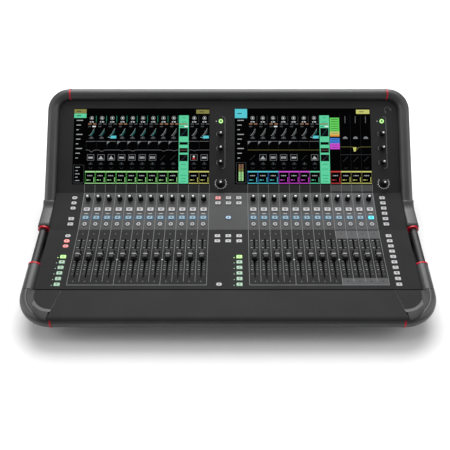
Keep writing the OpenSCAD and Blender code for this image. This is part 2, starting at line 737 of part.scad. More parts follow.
module panel_screws() color([0.3, 0.3, 0.3]) rear_frame() for (p = rear_screw_places)
    translate([p[0], p[1], 0]) {
        cylinder(h = 1.8, d1 = 6, d2 = 4.4, $fn = 24);
        translate([0, 0, -5]) cylinder(h = 5.2, d = screw_hole_d - 0.4, $fn = 24);
    }

base_pan();
rear_panel();
screen_panel();
control_panel();
palm_rest();
top_bar();
upper_corners();
hand_grips();
front_corners();
front_bar();
trim_rings();
display_left();
display_right();
encoder_knobs();
select_keys();
mix_keys();
cue_keys();
left_keys();
centre_keys();
right_keys();
screen_keys();
screen_knob(0, 0);  // screen_knob_1
screen_knob(0, 1);  // screen_knob_2
screen_knob(0, 2);  // screen_knob_3
screen_knob(1, 0);  // screen_knob_4
screen_knob(1, 1);  // screen_knob_5
screen_knob(1, 2);  // screen_knob_6
main_knob(0);  // main_knob_left
main_knob(1);  // main_knob_right
circuit_boards();
fader_units();
power_supply();
rear_sockets();
mains_switch();
rubber_feet();
panel_screws();
fader(0);  // fader_01
fader(1);  // fader_02
fader(2);  // fader_03
fader(3);  // fader_04
fader(4);  // fader_05
fader(5);  // fader_06
fader(6);  // fader_07
fader(7);  // fader_08
fader(8);  // fader_09
fader(9);  // fader_10
fader(10);  // fader_11
fader(11);  // fader_12
fader(12);  // fader_13
fader(13);  // fader_14
fader(14);  // fader_15
fader(15);  // fader_16
fader(16);  // fader_17
fader(17);  // fader_18
fader(18);  // fader_19
fader(19);  // fader_20
fader(20);  // fader_21
fader(21);  // fader_22
fader(22);  // fader_23
fader(23);  // fader_24
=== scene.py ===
# %% [markdown]
# # A digital mixing console
#
# A live sound desk: two touch screens stand above a sloped surface of twenty-four motor faders,
# and a bent tube frame with two hand grips carries the case. An engineering model fixes every size
# and everything that moves. It is loaded first, and the cells below give it its finish: paint and
# print, lit keys, knobs and fader caps, sockets, and what the screens show.

# %% Load the frame
import json
import math

import bmesh
import bpy
from mathutils import Matrix, Vector


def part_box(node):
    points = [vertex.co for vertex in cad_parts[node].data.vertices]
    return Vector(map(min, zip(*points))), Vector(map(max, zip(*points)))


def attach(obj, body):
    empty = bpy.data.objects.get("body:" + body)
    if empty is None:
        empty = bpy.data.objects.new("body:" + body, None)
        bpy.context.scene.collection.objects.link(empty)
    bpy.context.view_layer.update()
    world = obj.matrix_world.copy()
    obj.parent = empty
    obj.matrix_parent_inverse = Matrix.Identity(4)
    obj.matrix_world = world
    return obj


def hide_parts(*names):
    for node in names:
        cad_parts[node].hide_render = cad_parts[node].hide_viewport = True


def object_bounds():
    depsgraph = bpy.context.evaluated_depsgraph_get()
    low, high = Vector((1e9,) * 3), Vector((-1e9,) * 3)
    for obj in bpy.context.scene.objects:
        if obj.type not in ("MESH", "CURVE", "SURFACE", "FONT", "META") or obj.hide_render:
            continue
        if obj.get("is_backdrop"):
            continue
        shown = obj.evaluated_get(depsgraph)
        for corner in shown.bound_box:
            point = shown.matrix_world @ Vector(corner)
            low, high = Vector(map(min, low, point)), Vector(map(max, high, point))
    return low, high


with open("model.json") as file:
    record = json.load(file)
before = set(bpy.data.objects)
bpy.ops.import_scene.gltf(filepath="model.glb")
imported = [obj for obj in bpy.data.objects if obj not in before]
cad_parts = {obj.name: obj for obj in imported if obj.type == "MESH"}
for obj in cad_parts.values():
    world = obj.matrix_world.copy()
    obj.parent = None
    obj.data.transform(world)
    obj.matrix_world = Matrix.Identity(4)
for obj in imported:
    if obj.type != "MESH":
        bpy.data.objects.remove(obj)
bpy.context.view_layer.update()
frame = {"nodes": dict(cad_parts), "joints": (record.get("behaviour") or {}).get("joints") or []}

MM = 0.001

# %% [markdown]
# ## Where things are
#
# The top of the console is three planes: the screen panel, the key panel and the fader panel. Each
# control is drawn flat, in millimetres, with X to the right, Y up the slope and Z out of the panel,
# and one matrix per plane then puts it in place. The slopes come from the directions in which the
# frame's own faders, keys and knobs move, so the drawing can't drift away from the frame.

# %% The three planes and the back
joint_axis = {joint["name"]: Vector(joint["axis"]) for joint in frame["joints"]}


def low_mm(node):
    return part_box(node)[0] / MM


def high_mm(node):
    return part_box(node)[1] / MM


def middle_x(node):
    return (low_mm(node).x + high_mm(node).x) / 2


def slope_of(direction):
    """The slope, in radians, of a plane that has this normal."""
    return math.atan2(abs(direction.y), abs(direction.z))


def plane(y, z, slope):
    return Matrix.Translation((0, y, z)) @ Matrix.Rotation(slope, 4, "X")


SHEET = 2.0
KEY_PANEL_L = 108.0
TUBE_R = 14.0
FADER_SLOPE = math.atan2(joint_axis["fader_01_slide"].z, joint_axis["fader_01_slide"].y)
KEY_SLOPE = slope_of(joint_axis["select_keys_press"])
SCREEN_SLOPE = slope_of(joint_axis["screen_keys_press"])

junction_z = high_mm("control_panel").z
junction_y = high_mm("control_panel").y - SHEET * math.sin(KEY_SLOPE)
crease_y = junction_y - KEY_PANEL_L * math.cos(KEY_SLOPE)
crease_z = junction_z - KEY_PANEL_L * math.sin(KEY_SLOPE)
rail_y = low_mm("front_bar").y + TUBE_R
rail_z = high_mm("front_bar").z - TUBE_R
SCREENS = plane(junction_y, junction_z, SCREEN_SLOPE)
KEYS = plane(junction_y, junction_z, KEY_SLOPE)
FADERS = plane(crease_y, crease_z, FADER_SLOPE)
RAIL = plane(rail_y, rail_z, FADER_SLOPE)

BACK_FOOT_Z = 34.0
BACK_RUN = 15.5
BACK_DROP = 57.0
back_rise = (high_mm("top_bar").z - BACK_DROP) - BACK_FOOT_Z
back_lean = math.atan2(BACK_RUN, back_rise)
BACK = (Matrix.Translation((0, high_mm("rear_panel").y, BACK_FOOT_Z))
        @ Matrix.Rotation(math.pi, 4, "Z") @ Matrix.Rotation(math.pi / 2 - back_lean, 4, "X"))

strip_x = [middle_x(f"fader_{i + 1:02d}") for i in range(24)]
PITCH = strip_x[1] - strip_x[0]
BANK = 12
BODY_HALF = high_mm("screen_panel").x
SIDE_KEYS = 381.3
SCREEN_COLUMNS = [middle_x("screen_knob_1"), middle_x("screen_knob_4")]
print("Strips every", round(PITCH, 2), "mm; slopes",
      [round(math.degrees(a), 1) for a in (FADER_SLOPE, KEY_SLOPE, SCREEN_SLOPE, back_lean)])

# %% [markdown]
# ## Making a piece
#
# Every piece ends the same way: its shape is moved into its plane, turned from millimetres into
# metres, given its finishes and hung on the body that it moves with. Shapes are drawn with bmesh,
# which is Blender's own mesh editor as a library. A face's material index picks its finish.

# %% Helpers for shapes
def new_object(name, data):
    thing = bpy.data.objects.new(name, data)
    bpy.context.scene.collection.objects.link(thing)
    return thing


def mesh_of(name, shape):
    """The mesh that a bmesh becomes. The bmesh is used up."""
    mesh = bpy.data.meshes.new(name)
    shape.to_mesh(mesh)
    shape.free()
    return mesh


def piece(name, shape, place=Matrix(), finishes=(), body="console", slot=None, replaces=()):
    """Finishes a shape, which is a bmesh or a mesh in millimetres, and hangs it on its body."""
    mesh = mesh_of(name, shape) if isinstance(shape, bmesh.types.BMesh) else shape
    mesh.name = name
    mesh.transform(Matrix.Scale(MM, 4) @ place)
    thing = new_object(name, mesh)
    for coat in finishes:
        mesh.materials.append(coat)
    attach(thing, body)
    if replaces:
        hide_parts(*replaces)


def middle_of(outline):
    return sum((Vector(p) for p in outline), Vector((0, 0))) / len(outline)


def bridge(shape, a, b, finish=0, smooth=False):
    """Joins two loops of vertices with a ring of faces."""
    for i in range(len(a)):
        j = (i + 1) % len(a)
        face = shape.faces.new((a[i], a[j], b[j], b[i]))
        face.material_index = finish
        face.smooth = smooth


def prism(shape, outline, bottom, top, finish=0, taper=1.0, place=Matrix()):
    """Adds an upright prism over an outline of (x, y) points, narrower at its top by taper."""
    middle = middle_of(outline)
    lower = [shape.verts.new(place @ Vector((x, y, bottom))) for x, y in outline]
    upper = [shape.verts.new(place @ Vector((middle.x + (x - middle.x) * taper,
                                             middle.y + (y - middle.y) * taper, top)))
             for x, y in outline]
    shape.faces.new(upper).material_index = finish
    shape.faces.new(lower[::-1]).material_index = finish
    bridge(shape, lower, upper, finish)


def rectangle(w, h, x=0.0, y=0.0, corner=0.0, steps=3):
    """Outline of a rectangle round (x, y), with rounded corners if corner isn't 0."""
    if not corner:
        return [(x + sx * w / 2, y + sy * h / 2) for sx, sy in ((-1, -1), (1, -1), (1, 1), (-1, 1))]
    points = []
    for k, (sx, sy) in enumerate(((1, -1), (1, 1), (-1, 1), (-1, -1))):
        for i in range(steps + 1):
            angle = math.radians(-90 + 90 * k + 90 * i / steps)
            points.append((x + sx * (w / 2 - corner) + corner * math.cos(angle),
                           y + sy * (h / 2 - corner) + corner * math.sin(angle)))
    return points


def disc(radius, x=0.0, y=0.0, sides=24):
    return [(x + radius * math.cos(2 * math.pi * i / sides), y + radius * math.sin(2 * math.pi * i / sides))
            for i in range(sides)]


def turned(shape, profile, sides=32, finish=0, place=Matrix(), ribs=0, rib_depth=0.0, rib_rows=()):
    """Turns a profile of (radius, height) points about Z; its ends close on the axis."""
    rings = []
    for row, (radius, height) in enumerate(profile):
        if radius == 0:
            rings.append([shape.verts.new(place @ Vector((0, 0, height)))])
            continue
        ring = []
        for i in range(sides):
            r = radius - (rib_depth if row in rib_rows and ribs and (i * ribs * 2 // sides) % 2 else 0)
            angle = 2 * math.pi * i / sides
            ring.append(shape.verts.new(place @ Vector((r * math.cos(angle), r * math.sin(angle), height))))
        rings.append(ring)
    for row, (a, b) in enumerate(zip(rings, rings[1:])):
        index = finish[row] if isinstance(finish, (list, tuple)) else finish
        for i in range(sides):
            j = (i + 1) % sides
            corners = [a[i % len(a)], a[j % len(a)], b[j % len(b)], b[i % len(b)]]
            face = shape.faces.new(list(dict.fromkeys(corners)))
            face.material_index = index
            face.smooth = True


def flat(shape, outline, height=0.05, finish=0, place=Matrix()):
    """Adds one flat face, such as a printed mark."""
    corners = [shape.verts.new(place @ Vector((x, y, height))) for x, y in outline]
    shape.faces.new(corners).material_index = finish


def stroke(shape, points, width, height=0.05, finish=0):
    """Adds a printed line through points, as quads joined at their corners."""
    sides = []
    for i, point in enumerate(points):
        p = Vector(point)
        before = (p - Vector(points[i - 1])).normalized() if i else None
        after = (Vector(points[i + 1]) - p).normalized() if i < len(points) - 1 else None
        way = ((before or after) + (after or before)).normalized()
        reach = width / 2 / max(0.5, way.dot(before or after))
        side = Vector((-way.y, way.x)) * reach
        sides.append([shape.verts.new((*(p + side), height)), shape.verts.new((*(p - side), height))])
    for a, b in zip(sides, sides[1:]):
        shape.faces.new((a[0], a[1], b[1], b[0])).material_index = finish


print("Helpers: piece, prism, rectangle, disc, turned, flat and stroke")

# %% [markdown]
# ## Paint, rubber and plastic
#
# Nearly everything on the console is painted metal or moulded plastic, and close up none of it is
# one flat colour. A fine noise gives powder coat its orange-peel and its sparkle of roughness, and
# a broad, weak noise stands for handling. Both read Object coordinates, so the grain sits still on
# the piece when it moves. Constants such as Metallic go straight into the shader's own sockets.

# %% A family of finishes
HANDLING_SCALE = 14.0
GLOSS_SPREAD = 0.07
GRAIN_DEPTH = 0.0004


def feed(tree, node, inputs):
    """Sets inputs to plain values, or links them to a socket or to a node's first output."""
    for label, value in inputs.items():
        if isinstance(value, bpy.types.Node):
            value = value.outputs[0]
        if isinstance(value, bpy.types.NodeSocket):
            tree.links.new(value, node.inputs[label])
        else:
            node.inputs[label].default_value = value


def add_node(tree, kind, inputs=None, **settings):
    """Adds a node to a tree, with its settings and then its inputs."""
    node = tree.nodes.new(kind)
    for label, value in settings.items():
        setattr(node, label, value)
    feed(tree, node, inputs or {})
    return node


def ramp(tree, source, colours, positions=(0.0, 1.0)):
    """A colour ramp between two colours."""
    node = add_node(tree, "ShaderNodeValToRGB", {"Fac": source})
    for element, colour, position in zip(node.color_ramp.elements, colours, positions):
        element.position = position
        element.color = (*colour, 1)
    return node


def new_material(name):
    """A material, its tree, its shader and the piece's Object coordinates."""
    material = bpy.data.materials.new(name)
    material.use_nodes = True
    tree = material.node_tree
    where = add_node(tree, "ShaderNodeTexCoord").outputs["Object"]
    return material, tree, tree.nodes["Principled BSDF"], where


def finish(name, colour, roughness, metallic=0.0, grain=700.0, bump=0.1, mottle=0.1, shine=0.3,
           stretch=(1, 1, 1), glow=None, glow_strength=0.0):
    """A procedural finish: mottled colour, uneven roughness and a fine surface grain."""
    material, tree, shader, where = new_material(name)
    mapping = add_node(tree, "ShaderNodeMapping", {"Vector": where, "Scale": stretch})
    fine, broad = (add_node(tree, "ShaderNodeTexNoise", {"Vector": mapping, "Scale": scale, "Detail": detail})
                   for scale, detail in ((grain, 2.0), (HANDLING_SCALE, 3.0)))
    shades = [[min(1, c * share) for c in colour] for share in (1 - mottle, 1 + mottle)]
    smooth, rough = max(0.02, roughness - GLOSS_SPREAD), min(1.0, roughness + GLOSS_SPREAD)
    gloss = add_node(tree, "ShaderNodeMapRange", {"Value": fine, "To Min": smooth, "To Max": rough})
    relief = add_node(tree, "ShaderNodeBump", {"Height": fine, "Strength": bump, "Distance": GRAIN_DEPTH})
    feed(tree, shader, {"Base Color": ramp(tree, broad, shades, (0.3, 0.7)), "Roughness": gloss,
                        "Normal": relief, "Metallic": metallic, "Specular IOR Level": shine})
    if glow:
        feed(tree, shader, {"Emission Color": (*glow, 1), "Emission Strength": glow_strength})
    return material


case_paint = finish("case_powder_coat", (0.016, 0.016, 0.017), 0.55, grain=900, bump=0.22, shine=0.25)
screen_paint = finish("screen_panel_paint", (0.0165, 0.0165, 0.017), 0.55, grain=1100, bump=0.14, shine=0.16)
panel_paint = finish("control_panel_paint", (0.0172, 0.0172, 0.0177), 0.62, grain=1400, bump=0.08, shine=0.1)
palm_paint = finish("palm_rest_paint", (0.016, 0.016, 0.0165), 0.62, grain=1200, bump=0.1, shine=0.14)
tube_paint = finish("frame_satin_paint", (0.042, 0.042, 0.0435), 0.42, grain=1300, bump=0.08, shine=0.5)
casting_paint = finish("corner_casting_paint", (0.024, 0.024, 0.025), 0.52, grain=1200, bump=0.1, shine=0.25)
red_anodised = finish("red_ring_anodising", (0.5, 0.01, 0.025), 0.36, grain=600, bump=0.06)
grip_rubber = finish("hand_grip_sleeve", (0.012, 0.012, 0.013), 0.5, grain=1600, bump=0.35, shine=0.5)
soft_black = finish("soft_black_knob", (0.004, 0.004, 0.0045), 0.5, grain=1800, bump=0.2, shine=0.2)
cap_plastic = finish("fader_cap_plastic", (0.013, 0.013, 0.0135), 0.5, grain=1500, bump=0.1, shine=0.3)
moulded_black = finish("moulded_black_plastic", (0.004, 0.004, 0.0045), 0.45, grain=1500, bump=0.12,
                       shine=0.2)
pale_tip = finish("pale_plastic_tip", (0.75, 0.76, 0.77), 0.4, grain=900, bump=0.05, mottle=0.03)
foot_rubber = finish("foot_rubber", (0.012, 0.012, 0.012), 0.8, grain=500, bump=0.4)
board_mask = finish("green_solder_mask", (0.01, 0.09, 0.035), 0.35, grain=300, bump=0.1, mottle=0.25)
motor_housing = finish("fader_housing_lacquer", (0.02, 0.02, 0.021), 0.5, grain=400, bump=0.1)
zinc_plate = finish("zinc_plated_sheet", (0.5, 0.5, 0.52), 0.32, metallic=1.0, grain=160, bump=0.1,
                    stretch=(1, 18, 1))
black_screw = finish("black_zinc_screw", (0.03, 0.03, 0.032), 0.35, metallic=0.8, grain=900, bump=0.1)
socket_shell = finish("black_socket_shell", (0.014, 0.014, 0.015), 0.4, grain=900, bump=0.15)
contact_metal = finish("plated_contact", (0.75, 0.62, 0.35), 0.25, metallic=1.0, grain=400, bump=0.05)
# Black felt for the slot lips; the same finish is painted shade in the pin holes and screw recesses at the
# back
felt_and_hole_shade = finish("slot_dust_felt", (0.003, 0.003, 0.003), 0.95, grain=2500, bump=0.5, shine=0.1)
screen_glass = finish("dark_touch_glass", (0.0008, 0.0008, 0.001), 0.2, grain=60, bump=0.0, shine=0.03)
print(len(bpy.data.materials), "finishes so far")

# %% [markdown]
# Print on a panel is screen ink: matt, a little thinner in places. Light comes out of a control in
# two ways. A lens or a cap glows as a whole, and round it a faint halo is painted on the panel as
# a glowing face: painted light. Both are one helper with different strengths.

# %% Inks and lights
def ink(name, colour, roughness=0.6):
    return finish(name, colour, roughness, grain=2200, bump=0.02, mottle=0.12)


def light(name, colour, strength, body=0.7):
    """A lit plastic: its own colour, and its glow set on the shader's own sockets."""
    return finish(name, [c * body for c in colour], 0.4, grain=800, bump=0.03, mottle=0.05,
                  glow=colour, glow_strength=strength)


white_ink = ink("white_print", (0.6, 0.61, 0.62))
grey_ink = ink("grey_print", (0.19, 0.195, 0.2))
sign_ink = ink("key_sign_print", (0.07, 0.075, 0.08))
faint_ink = ink("faint_print", (0.075, 0.077, 0.08))
dark_ink = ink("dark_print", (0.006, 0.006, 0.007))
pale_ink = ink("light_block_print", (0.058, 0.0585, 0.061))
# A lighter tone printed over the key field: painted sheen, standing for the key panel's reflection
painted_sheen_tone = ink("centre_field_print", (0.047, 0.0475, 0.0485))
white_key = light("white_key", (0.44, 0.44, 0.45), 0.05, body=0.9)
blue_key = light("pale_blue_key", (0.27, 0.4, 0.48), 0.18)
cyan_key = light("cyan_key", (0.1, 0.72, 0.85), 0.7)
green_key = light("green_white_key", (0.4, 0.6, 0.45), 0.2)
bright_green = light("bright_green_lens", (0.5, 0.95, 0.3), 0.55)
soft_red = light("soft_red_key", (0.85, 0.3, 0.3), 0.3)
bright_red = light("bright_red_key", (0.95, 0.3, 0.28), 0.5)
blue_lens = light("blue_lens", (0.4, 0.6, 0.8), 0.2)
print("Inks and lights bring it to", len(bpy.data.materials))

# %% [markdown]
# ## Paint on the pieces of the frame
#
# The case, the panels and everything inside keep the frame's own shapes, so they only need their
# finish. Each line below names a finish and the pieces that leave the paint shop together.

# %% Paint the carried-over pieces
painted = {
    case_paint: ["base_pan", "rear_panel"],
    screen_paint: ["screen_panel"],
    panel_paint: ["control_panel"],
    palm_paint: ["palm_rest"],
    tube_paint: ["top_bar", "upper_corners", "front_bar", "front_corners"],
    red_anodised: ["trim_rings"],
    grip_rubber: ["hand_grips"],
    screen_glass: ["display_left", "display_right"],
    soft_black: ["encoder_knobs", "main_knob_left", "main_knob_right",
                 *[f"screen_knob_{i + 1}" for i in range(6)]],
    white_key: ["select_keys", "cue_keys", "left_keys", "centre_keys", "right_keys"],
    blue_key: ["mix_keys"],
    bright_green: ["screen_keys"],
    moulded_black: ["mains_switch", *[f"fader_{i + 1:02d}" for i in range(24)]],
    board_mask: ["circuit_boards"],
    motor_housing: ["fader_units"],
    zinc_plate: ["power_supply"],
    socket_shell: ["rear_sockets"],
    foot_rubber: ["rubber_feet"],
    black_screw: ["panel_screws"],
}
for coat, names in painted.items():
    for name in names:
        mesh = frame["nodes"][name].data
        mesh.materials.clear()
        mesh.materials.append(coat)
print("Painted", sum(len(names) for names in painted.values()), "pieces with", len(painted), "finishes")

# %% [markdown]
# ## Repeating a control along the banks
#
# Twenty-four strips share the same knob, keys and marks, in two banks of twelve. A Geometry Nodes
# tree repeats one drawing along both banks: two Mesh Line nodes give the places, Instance on Points
# copies the drawing there, and Realize Instances makes real faces, which an export needs. The
# drawing's faces carry a number, finish, and one Set Material node for each number paints them.

# %% Build and run trees
FINISH_SOCKETS = [(f"Finish {n}", "NodeSocketMaterial") for n in range(3)]


def new_tree(name, sockets):
    """A node tree with named inputs, its group input and its group output."""
    tree = bpy.data.node_groups.new(name, "GeometryNodeTree")
    tree.interface.new_socket("Geometry", in_out="OUTPUT", socket_type="NodeSocketGeometry")
    for label, kind in sockets:
        tree.interface.new_socket(label, in_out="INPUT", socket_type=kind)
    return tree, tree.nodes.new("NodeGroupInput"), tree.nodes.new("NodeGroupOutput")


def copy_and_paint(tree, entry, end, points):
    """Copies the drawing to the points, sets one material for each finish number and ends the tree."""
    drawing = add_node(tree, "GeometryNodeObjectInfo", {"Object": entry.outputs["Drawing"]})
    copies = add_node(tree, "GeometryNodeInstanceOnPoints",
                      {"Points": points, "Instance": drawing.outputs["Geometry"]})
    last = add_node(tree, "GeometryNodeRealizeInstances", {"Geometry": copies})
    for number, (label, _) in enumerate(FINISH_SOCKETS):
        read = add_node(tree, "GeometryNodeInputNamedAttribute", {"Name": "finish"}, data_type="INT")
        equal = add_node(tree, "FunctionNodeCompare", {2: read, 3: number}, data_type="INT",
                         operation="EQUAL")
        last = add_node(tree, "GeometryNodeSetMaterial",
                        {"Geometry": last, "Selection": equal, "Material": entry.outputs[label]})
    feed(tree, end, {"Geometry": last})


def strip_tree():
    """Repeats a drawing along two banks of strips."""
    floats = [(label, "NodeSocketFloat") for label in ("Pitch", "First left", "First right", "Row")]
    tree, entry, end = new_tree("Along the banks", [
        ("Drawing", "NodeSocketObject"), ("Strips", "NodeSocketInt"), *floats, *FINISH_SOCKETS])
    given = entry.outputs
    step = add_node(tree, "ShaderNodeCombineXYZ", {"X": given["Pitch"]})
    both = add_node(tree, "GeometryNodeJoinGeometry")
    for side in ("First left", "First right"):
        start = add_node(tree, "ShaderNodeCombineXYZ", {"X": given[side], "Y": given["Row"]})
        line = add_node(tree, "GeometryNodeMeshLine",
                        {"Count": given["Strips"], "Start Location": start, "Offset": step})
        feed(tree, both, {"Geometry": line})
    copy_and_paint(tree, entry, end, both)
    return tree


def place_tree():
    """Repeats a drawing at every vertex of the mesh that carries the modifier."""
    tree, entry, end = new_tree("At the places", [
        ("Places", "NodeSocketGeometry"), ("Drawing", "NodeSocketObject"), *FINISH_SOCKETS])
    copy_and_paint(tree, entry, end, entry.outputs["Places"])
    return tree


def run_tree(tree, name, mesh=None, **values):
    """Runs a tree on a scratch object and returns what it makes as a plain mesh."""
    host = new_object(name, mesh or bpy.data.meshes.new(name))
    modifier = host.modifiers.new("grow", "NODES")
    modifier.node_group = tree
    for item in tree.interface.items_tree:
        key = item.name.replace(" ", "_").lower()
        if item.in_out == "INPUT" and key in values:
            modifier[item.identifier] = values[key]
    graph = bpy.context.evaluated_depsgraph_get()
    made = bpy.data.meshes.new_from_object(host.evaluated_get(graph), depsgraph=graph,
                                           preserve_all_data_layers=True)
    host.modifiers.clear()
    bpy.data.objects.remove(host)
    return made


along_banks = strip_tree()
at_places = place_tree()


def repeat(tree, name, drawing, finishes, mesh=None, **values):
    """What a tree makes of a drawing, whose faces keep their finish number as an attribute."""
    source = mesh_of(name + "_drawing", drawing)
    number = source.attributes.new("finish", "INT", "FACE")
    number.data.foreach_set("value", [face.material_index for face in source.polygons])
    thing = new_object(source.name, source)
    coats = {f"finish_{n}": finishes[n % len(finishes)] for n in range(len(FINISH_SOCKETS))}
    made = run_tree(tree, name, mesh, drawing=thing, **coats, **values)
    bpy.data.objects.remove(thing)
    return made


def on_strips(name, drawing, row, place, finishes, **hang):
    """Repeats a drawing on every strip of both banks, at a height on its panel."""
    made = repeat(along_banks, name, drawing, finishes, strips=BANK, pitch=PITCH, row=row,
                  first_left=strip_x[0], first_right=strip_x[BANK])
    piece(name, made, place, **hang)


def line_mesh(name, points, edges=()):
    mesh = bpy.data.meshes.new(name)
    mesh.from_pydata([tuple(p) for p in points], edges, [])
    return mesh


def at_points(name, drawing, points, place, finishes):
    """Repeats a drawing at (x, y, z) points."""
    piece(name, repeat(at_places, name, drawing, finishes, line_mesh(name + "_places", points)), place)


print("Two trees are ready:", along_banks.name, "and", at_places.name)

# %% [markdown]
# ## Knobs
#
# A knob here is a turned shape: a black body with fine ribs for the fingers, and a pale domed tip
# that an LED lights. The profile is a list of radius and height, spun about Z, and the ribs come
# from pulling in every second group of points on the rows that fingers touch. The shaft goes on
# down into its encoder, because the knob turns about it.

# %% Strip encoders and the knobs beside the screens
SHAFT_R = 3.0
SHAFT_END = -14.0
KNOB_FINISHES = (soft_black, pale_tip, zinc_plate)


def knob_drawing(diameter, height, ribs=16, tip=0.66):
    """A ribbed knob with a pale domed tip: finish 0 is the body, 1 the tip and 2 the shaft."""
    shape = bmesh.new()
    r = diameter / 2
    t = r * tip
    profile = [(0, 1.0), (r - 0.9, 1.0), (r, 1.7), (r, 3.0), (r - 0.25, 3.4), (r - 0.6, height - 5.0),
               (r - 1.0, height - 4.2), (t + 0.2, height - 3.6), (t, height - 3.4), (t - 0.1, height - 2.0),
               (t * 0.8, height - 0.9), (t * 0.45, height - 0.25), (0, height)]
    rows = [0] * 8 + [1] * 4
    turned(shape, profile, sides=64, finish=rows, ribs=ribs, rib_depth=0.35, rib_rows=(4, 5))
    turned(shape, [(0, SHAFT_END), (SHAFT_R, SHAFT_END), (SHAFT_R, 1.2), (0, 1.2)], sides=24, finish=2)
    return shape


ENCODER_ROW = -20.0
on_strips("strip_encoder_knobs", knob_drawing(13.0, 17.0, tip=0.46), ENCODER_ROW, KEYS,
          KNOB_FINISHES, slot="knob", replaces=("encoder_knobs",))

SCREEN_KNOB_ROWS = [150.5, 113.7, 76.9]
MAIN_KNOB_ROW = 24.0
for side, x in enumerate(SCREEN_COLUMNS):
    knobs = [(f"screen_knob_{side * 3 + row + 1}", w, knob_drawing(12.0, 17.0, tip=0.4))
             for row, w in enumerate(SCREEN_KNOB_ROWS)]
    knobs.append((("main_knob_left", "main_knob_right")[side], MAIN_KNOB_ROW,
                  knob_drawing(17.0, 18.0, ribs=22, tip=0.3)))
    for node, w, drawing in knobs:
        piece(node + "_cap", drawing, SCREENS @ Matrix.Translation((x, w, 0)), KNOB_FINISHES, node, "knob",
              (node,))
print("Made 24 encoder knobs, 6 screen knobs and 2 main knobs")

# %% [markdown]
# ## Keys
#
# A console key is a translucent cap with an LED under it. It stands two millimetres out of its hole,
# has a soft edge, and carries a small printed sign. Under the panel a wider foot keeps it from
# falling out, and a plunger reaches the switch on the board. The same drawing, with another outline,
# gives the square, oval and round keys.

# %% One key
KEY_TOP = 2.0
KEY_EDGE = 0.7
KEY_FOOT = 0.8
KEY_SEAT = -2.3
KEY_CORNER = 1.2
PLUNGER_R, PLUNGER_END = 2.0, -13.5


def grown(outline, reach):
    """An outline moved outwards by reach, along the line from its middle, for small changes."""
    middle = middle_of(outline)
    half_w = max(abs(p[0] - middle.x) for p in outline)
    half_h = max(abs(p[1] - middle.y) for p in outline)
    return [(middle.x + (x - middle.x) * (half_w + reach) / half_w,
             middle.y + (y - middle.y) * (half_h + reach) / half_h) for x, y in outline]


def add_key(shape, outline, sign, place=Matrix(), finish=0, sign_finish=1):
    """A key cap with a soft edge, its foot and plunger, and a printed sign as outlines on top."""
    rings = [(grown(outline, 0), KEY_SEAT), (grown(outline, 0), KEY_TOP - KEY_EDGE),
             (grown(outline, -0.25), KEY_TOP - 0.2), (grown(outline, -KEY_EDGE), KEY_TOP)]
    loops = [[shape.verts.new(place @ Vector((x, y, z))) for x, y in ring] for ring, z in rings]
    for a, b in zip(loops, loops[1:]):
        bridge(shape, a, b, finish, a is not loops[0])
    shape.faces.new(loops[-1]).material_index = finish
    shape.faces.new(loops[0][::-1]).material_index = finish
    prism(shape, grown(outline, KEY_FOOT), KEY_SEAT - 2, KEY_SEAT - 0.02, 2, place=place)
    prism(shape, disc(PLUNGER_R, *middle_of(outline), sides=12), PLUNGER_END, KEY_SEAT - 2, 2, place=place)
    for mark in sign:
        flat(shape, mark, KEY_TOP + 0.04, sign_finish, place)


def oval(w, h, x=0.0, y=0.0, steps=8):
    points = []
    for side, start in ((1, -90), (-1, 90)):
        for i in range(steps + 1):
            angle = math.radians(start + 180 * i / steps)
            points.append((x + side * (w - h) / 2 + h / 2 * math.cos(angle), y + h / 2 * math.sin(angle)))
    return points


def bar_sign(w, h, x=0.0, y=0.0):
    """A plain bar, with a short one under it."""
    return [rectangle(w, h, x, y + 0.9), rectangle(w * 0.55, h * 0.55, x, y - 1.5)]


SELECT_ROW = -50.0
MARK_ROW = -61.5
MIX_ROW = -73.6
CUE_ROW = -92.2

shape = bmesh.new()
add_key(shape, rectangle(15.0, 10.0, corner=KEY_CORNER), bar_sign(7.0, 2.4))
on_strips("select_key_caps", shape, SELECT_ROW, KEYS, (white_key, sign_ink, white_key),
          body="select_keys", slot="key_white", replaces=("select_keys",))
shape = bmesh.new()
add_key(shape, oval(10.0, 9.99), [disc(2.6, 0, 0, 16)])
on_strips("cue_key_caps", shape, CUE_ROW, KEYS, (white_key, sign_ink, white_key),
          body="cue_keys", slot="key_white", replaces=("cue_keys",))

# The last mix key is switched on, so it is drawn by itself in a brighter finish
shape = bmesh.new()
for i, x in enumerate(strip_x):
    lit = i == len(strip_x) - 1
    add_key(shape, rectangle(13.0, 9.0, corner=KEY_CORNER), bar_sign(5.0, 2.0),
            Matrix.Translation((x, MIX_ROW, 0)), 2 if lit else 0)
piece("mix_key_caps", shape, KEYS, (blue_key, dark_ink, cyan_key), "mix_keys", "key_blue", ("mix_keys",))
print("Made 72 strip keys")

# %% [markdown]
# The side columns and the centre hold keys of the same make. Their places follow two rows of steps,
# one down each panel, so a short list of which steps are used is enough. Some keys are lit: the
# mute groups glow red, the bank keys green. Each lit key has its own finish number.

# %% Side, centre and screen keys
KEY_STEP = 15.2
FIRST_KEY = 16.3
FIRST_FADER_KEY = 18.8
CENTRE_STEP = 25.8
LAYER_KEYS_X = CENTRE_STEP
TALKBACK_X = -20
SIDE_KEY = (13.0, 8.6)
PLAIN, SIGN, GREEN, BRIGHT, RED, HOT, BLUE = range(7)
SIDE_FINISHES = (white_key, sign_ink, green_key, bright_green, soft_red, bright_red, blue_lens)


def upper(step):
    return FIRST_KEY + KEY_STEP * step


def lower(step):
    return FIRST_FADER_KEY + KEY_STEP * step


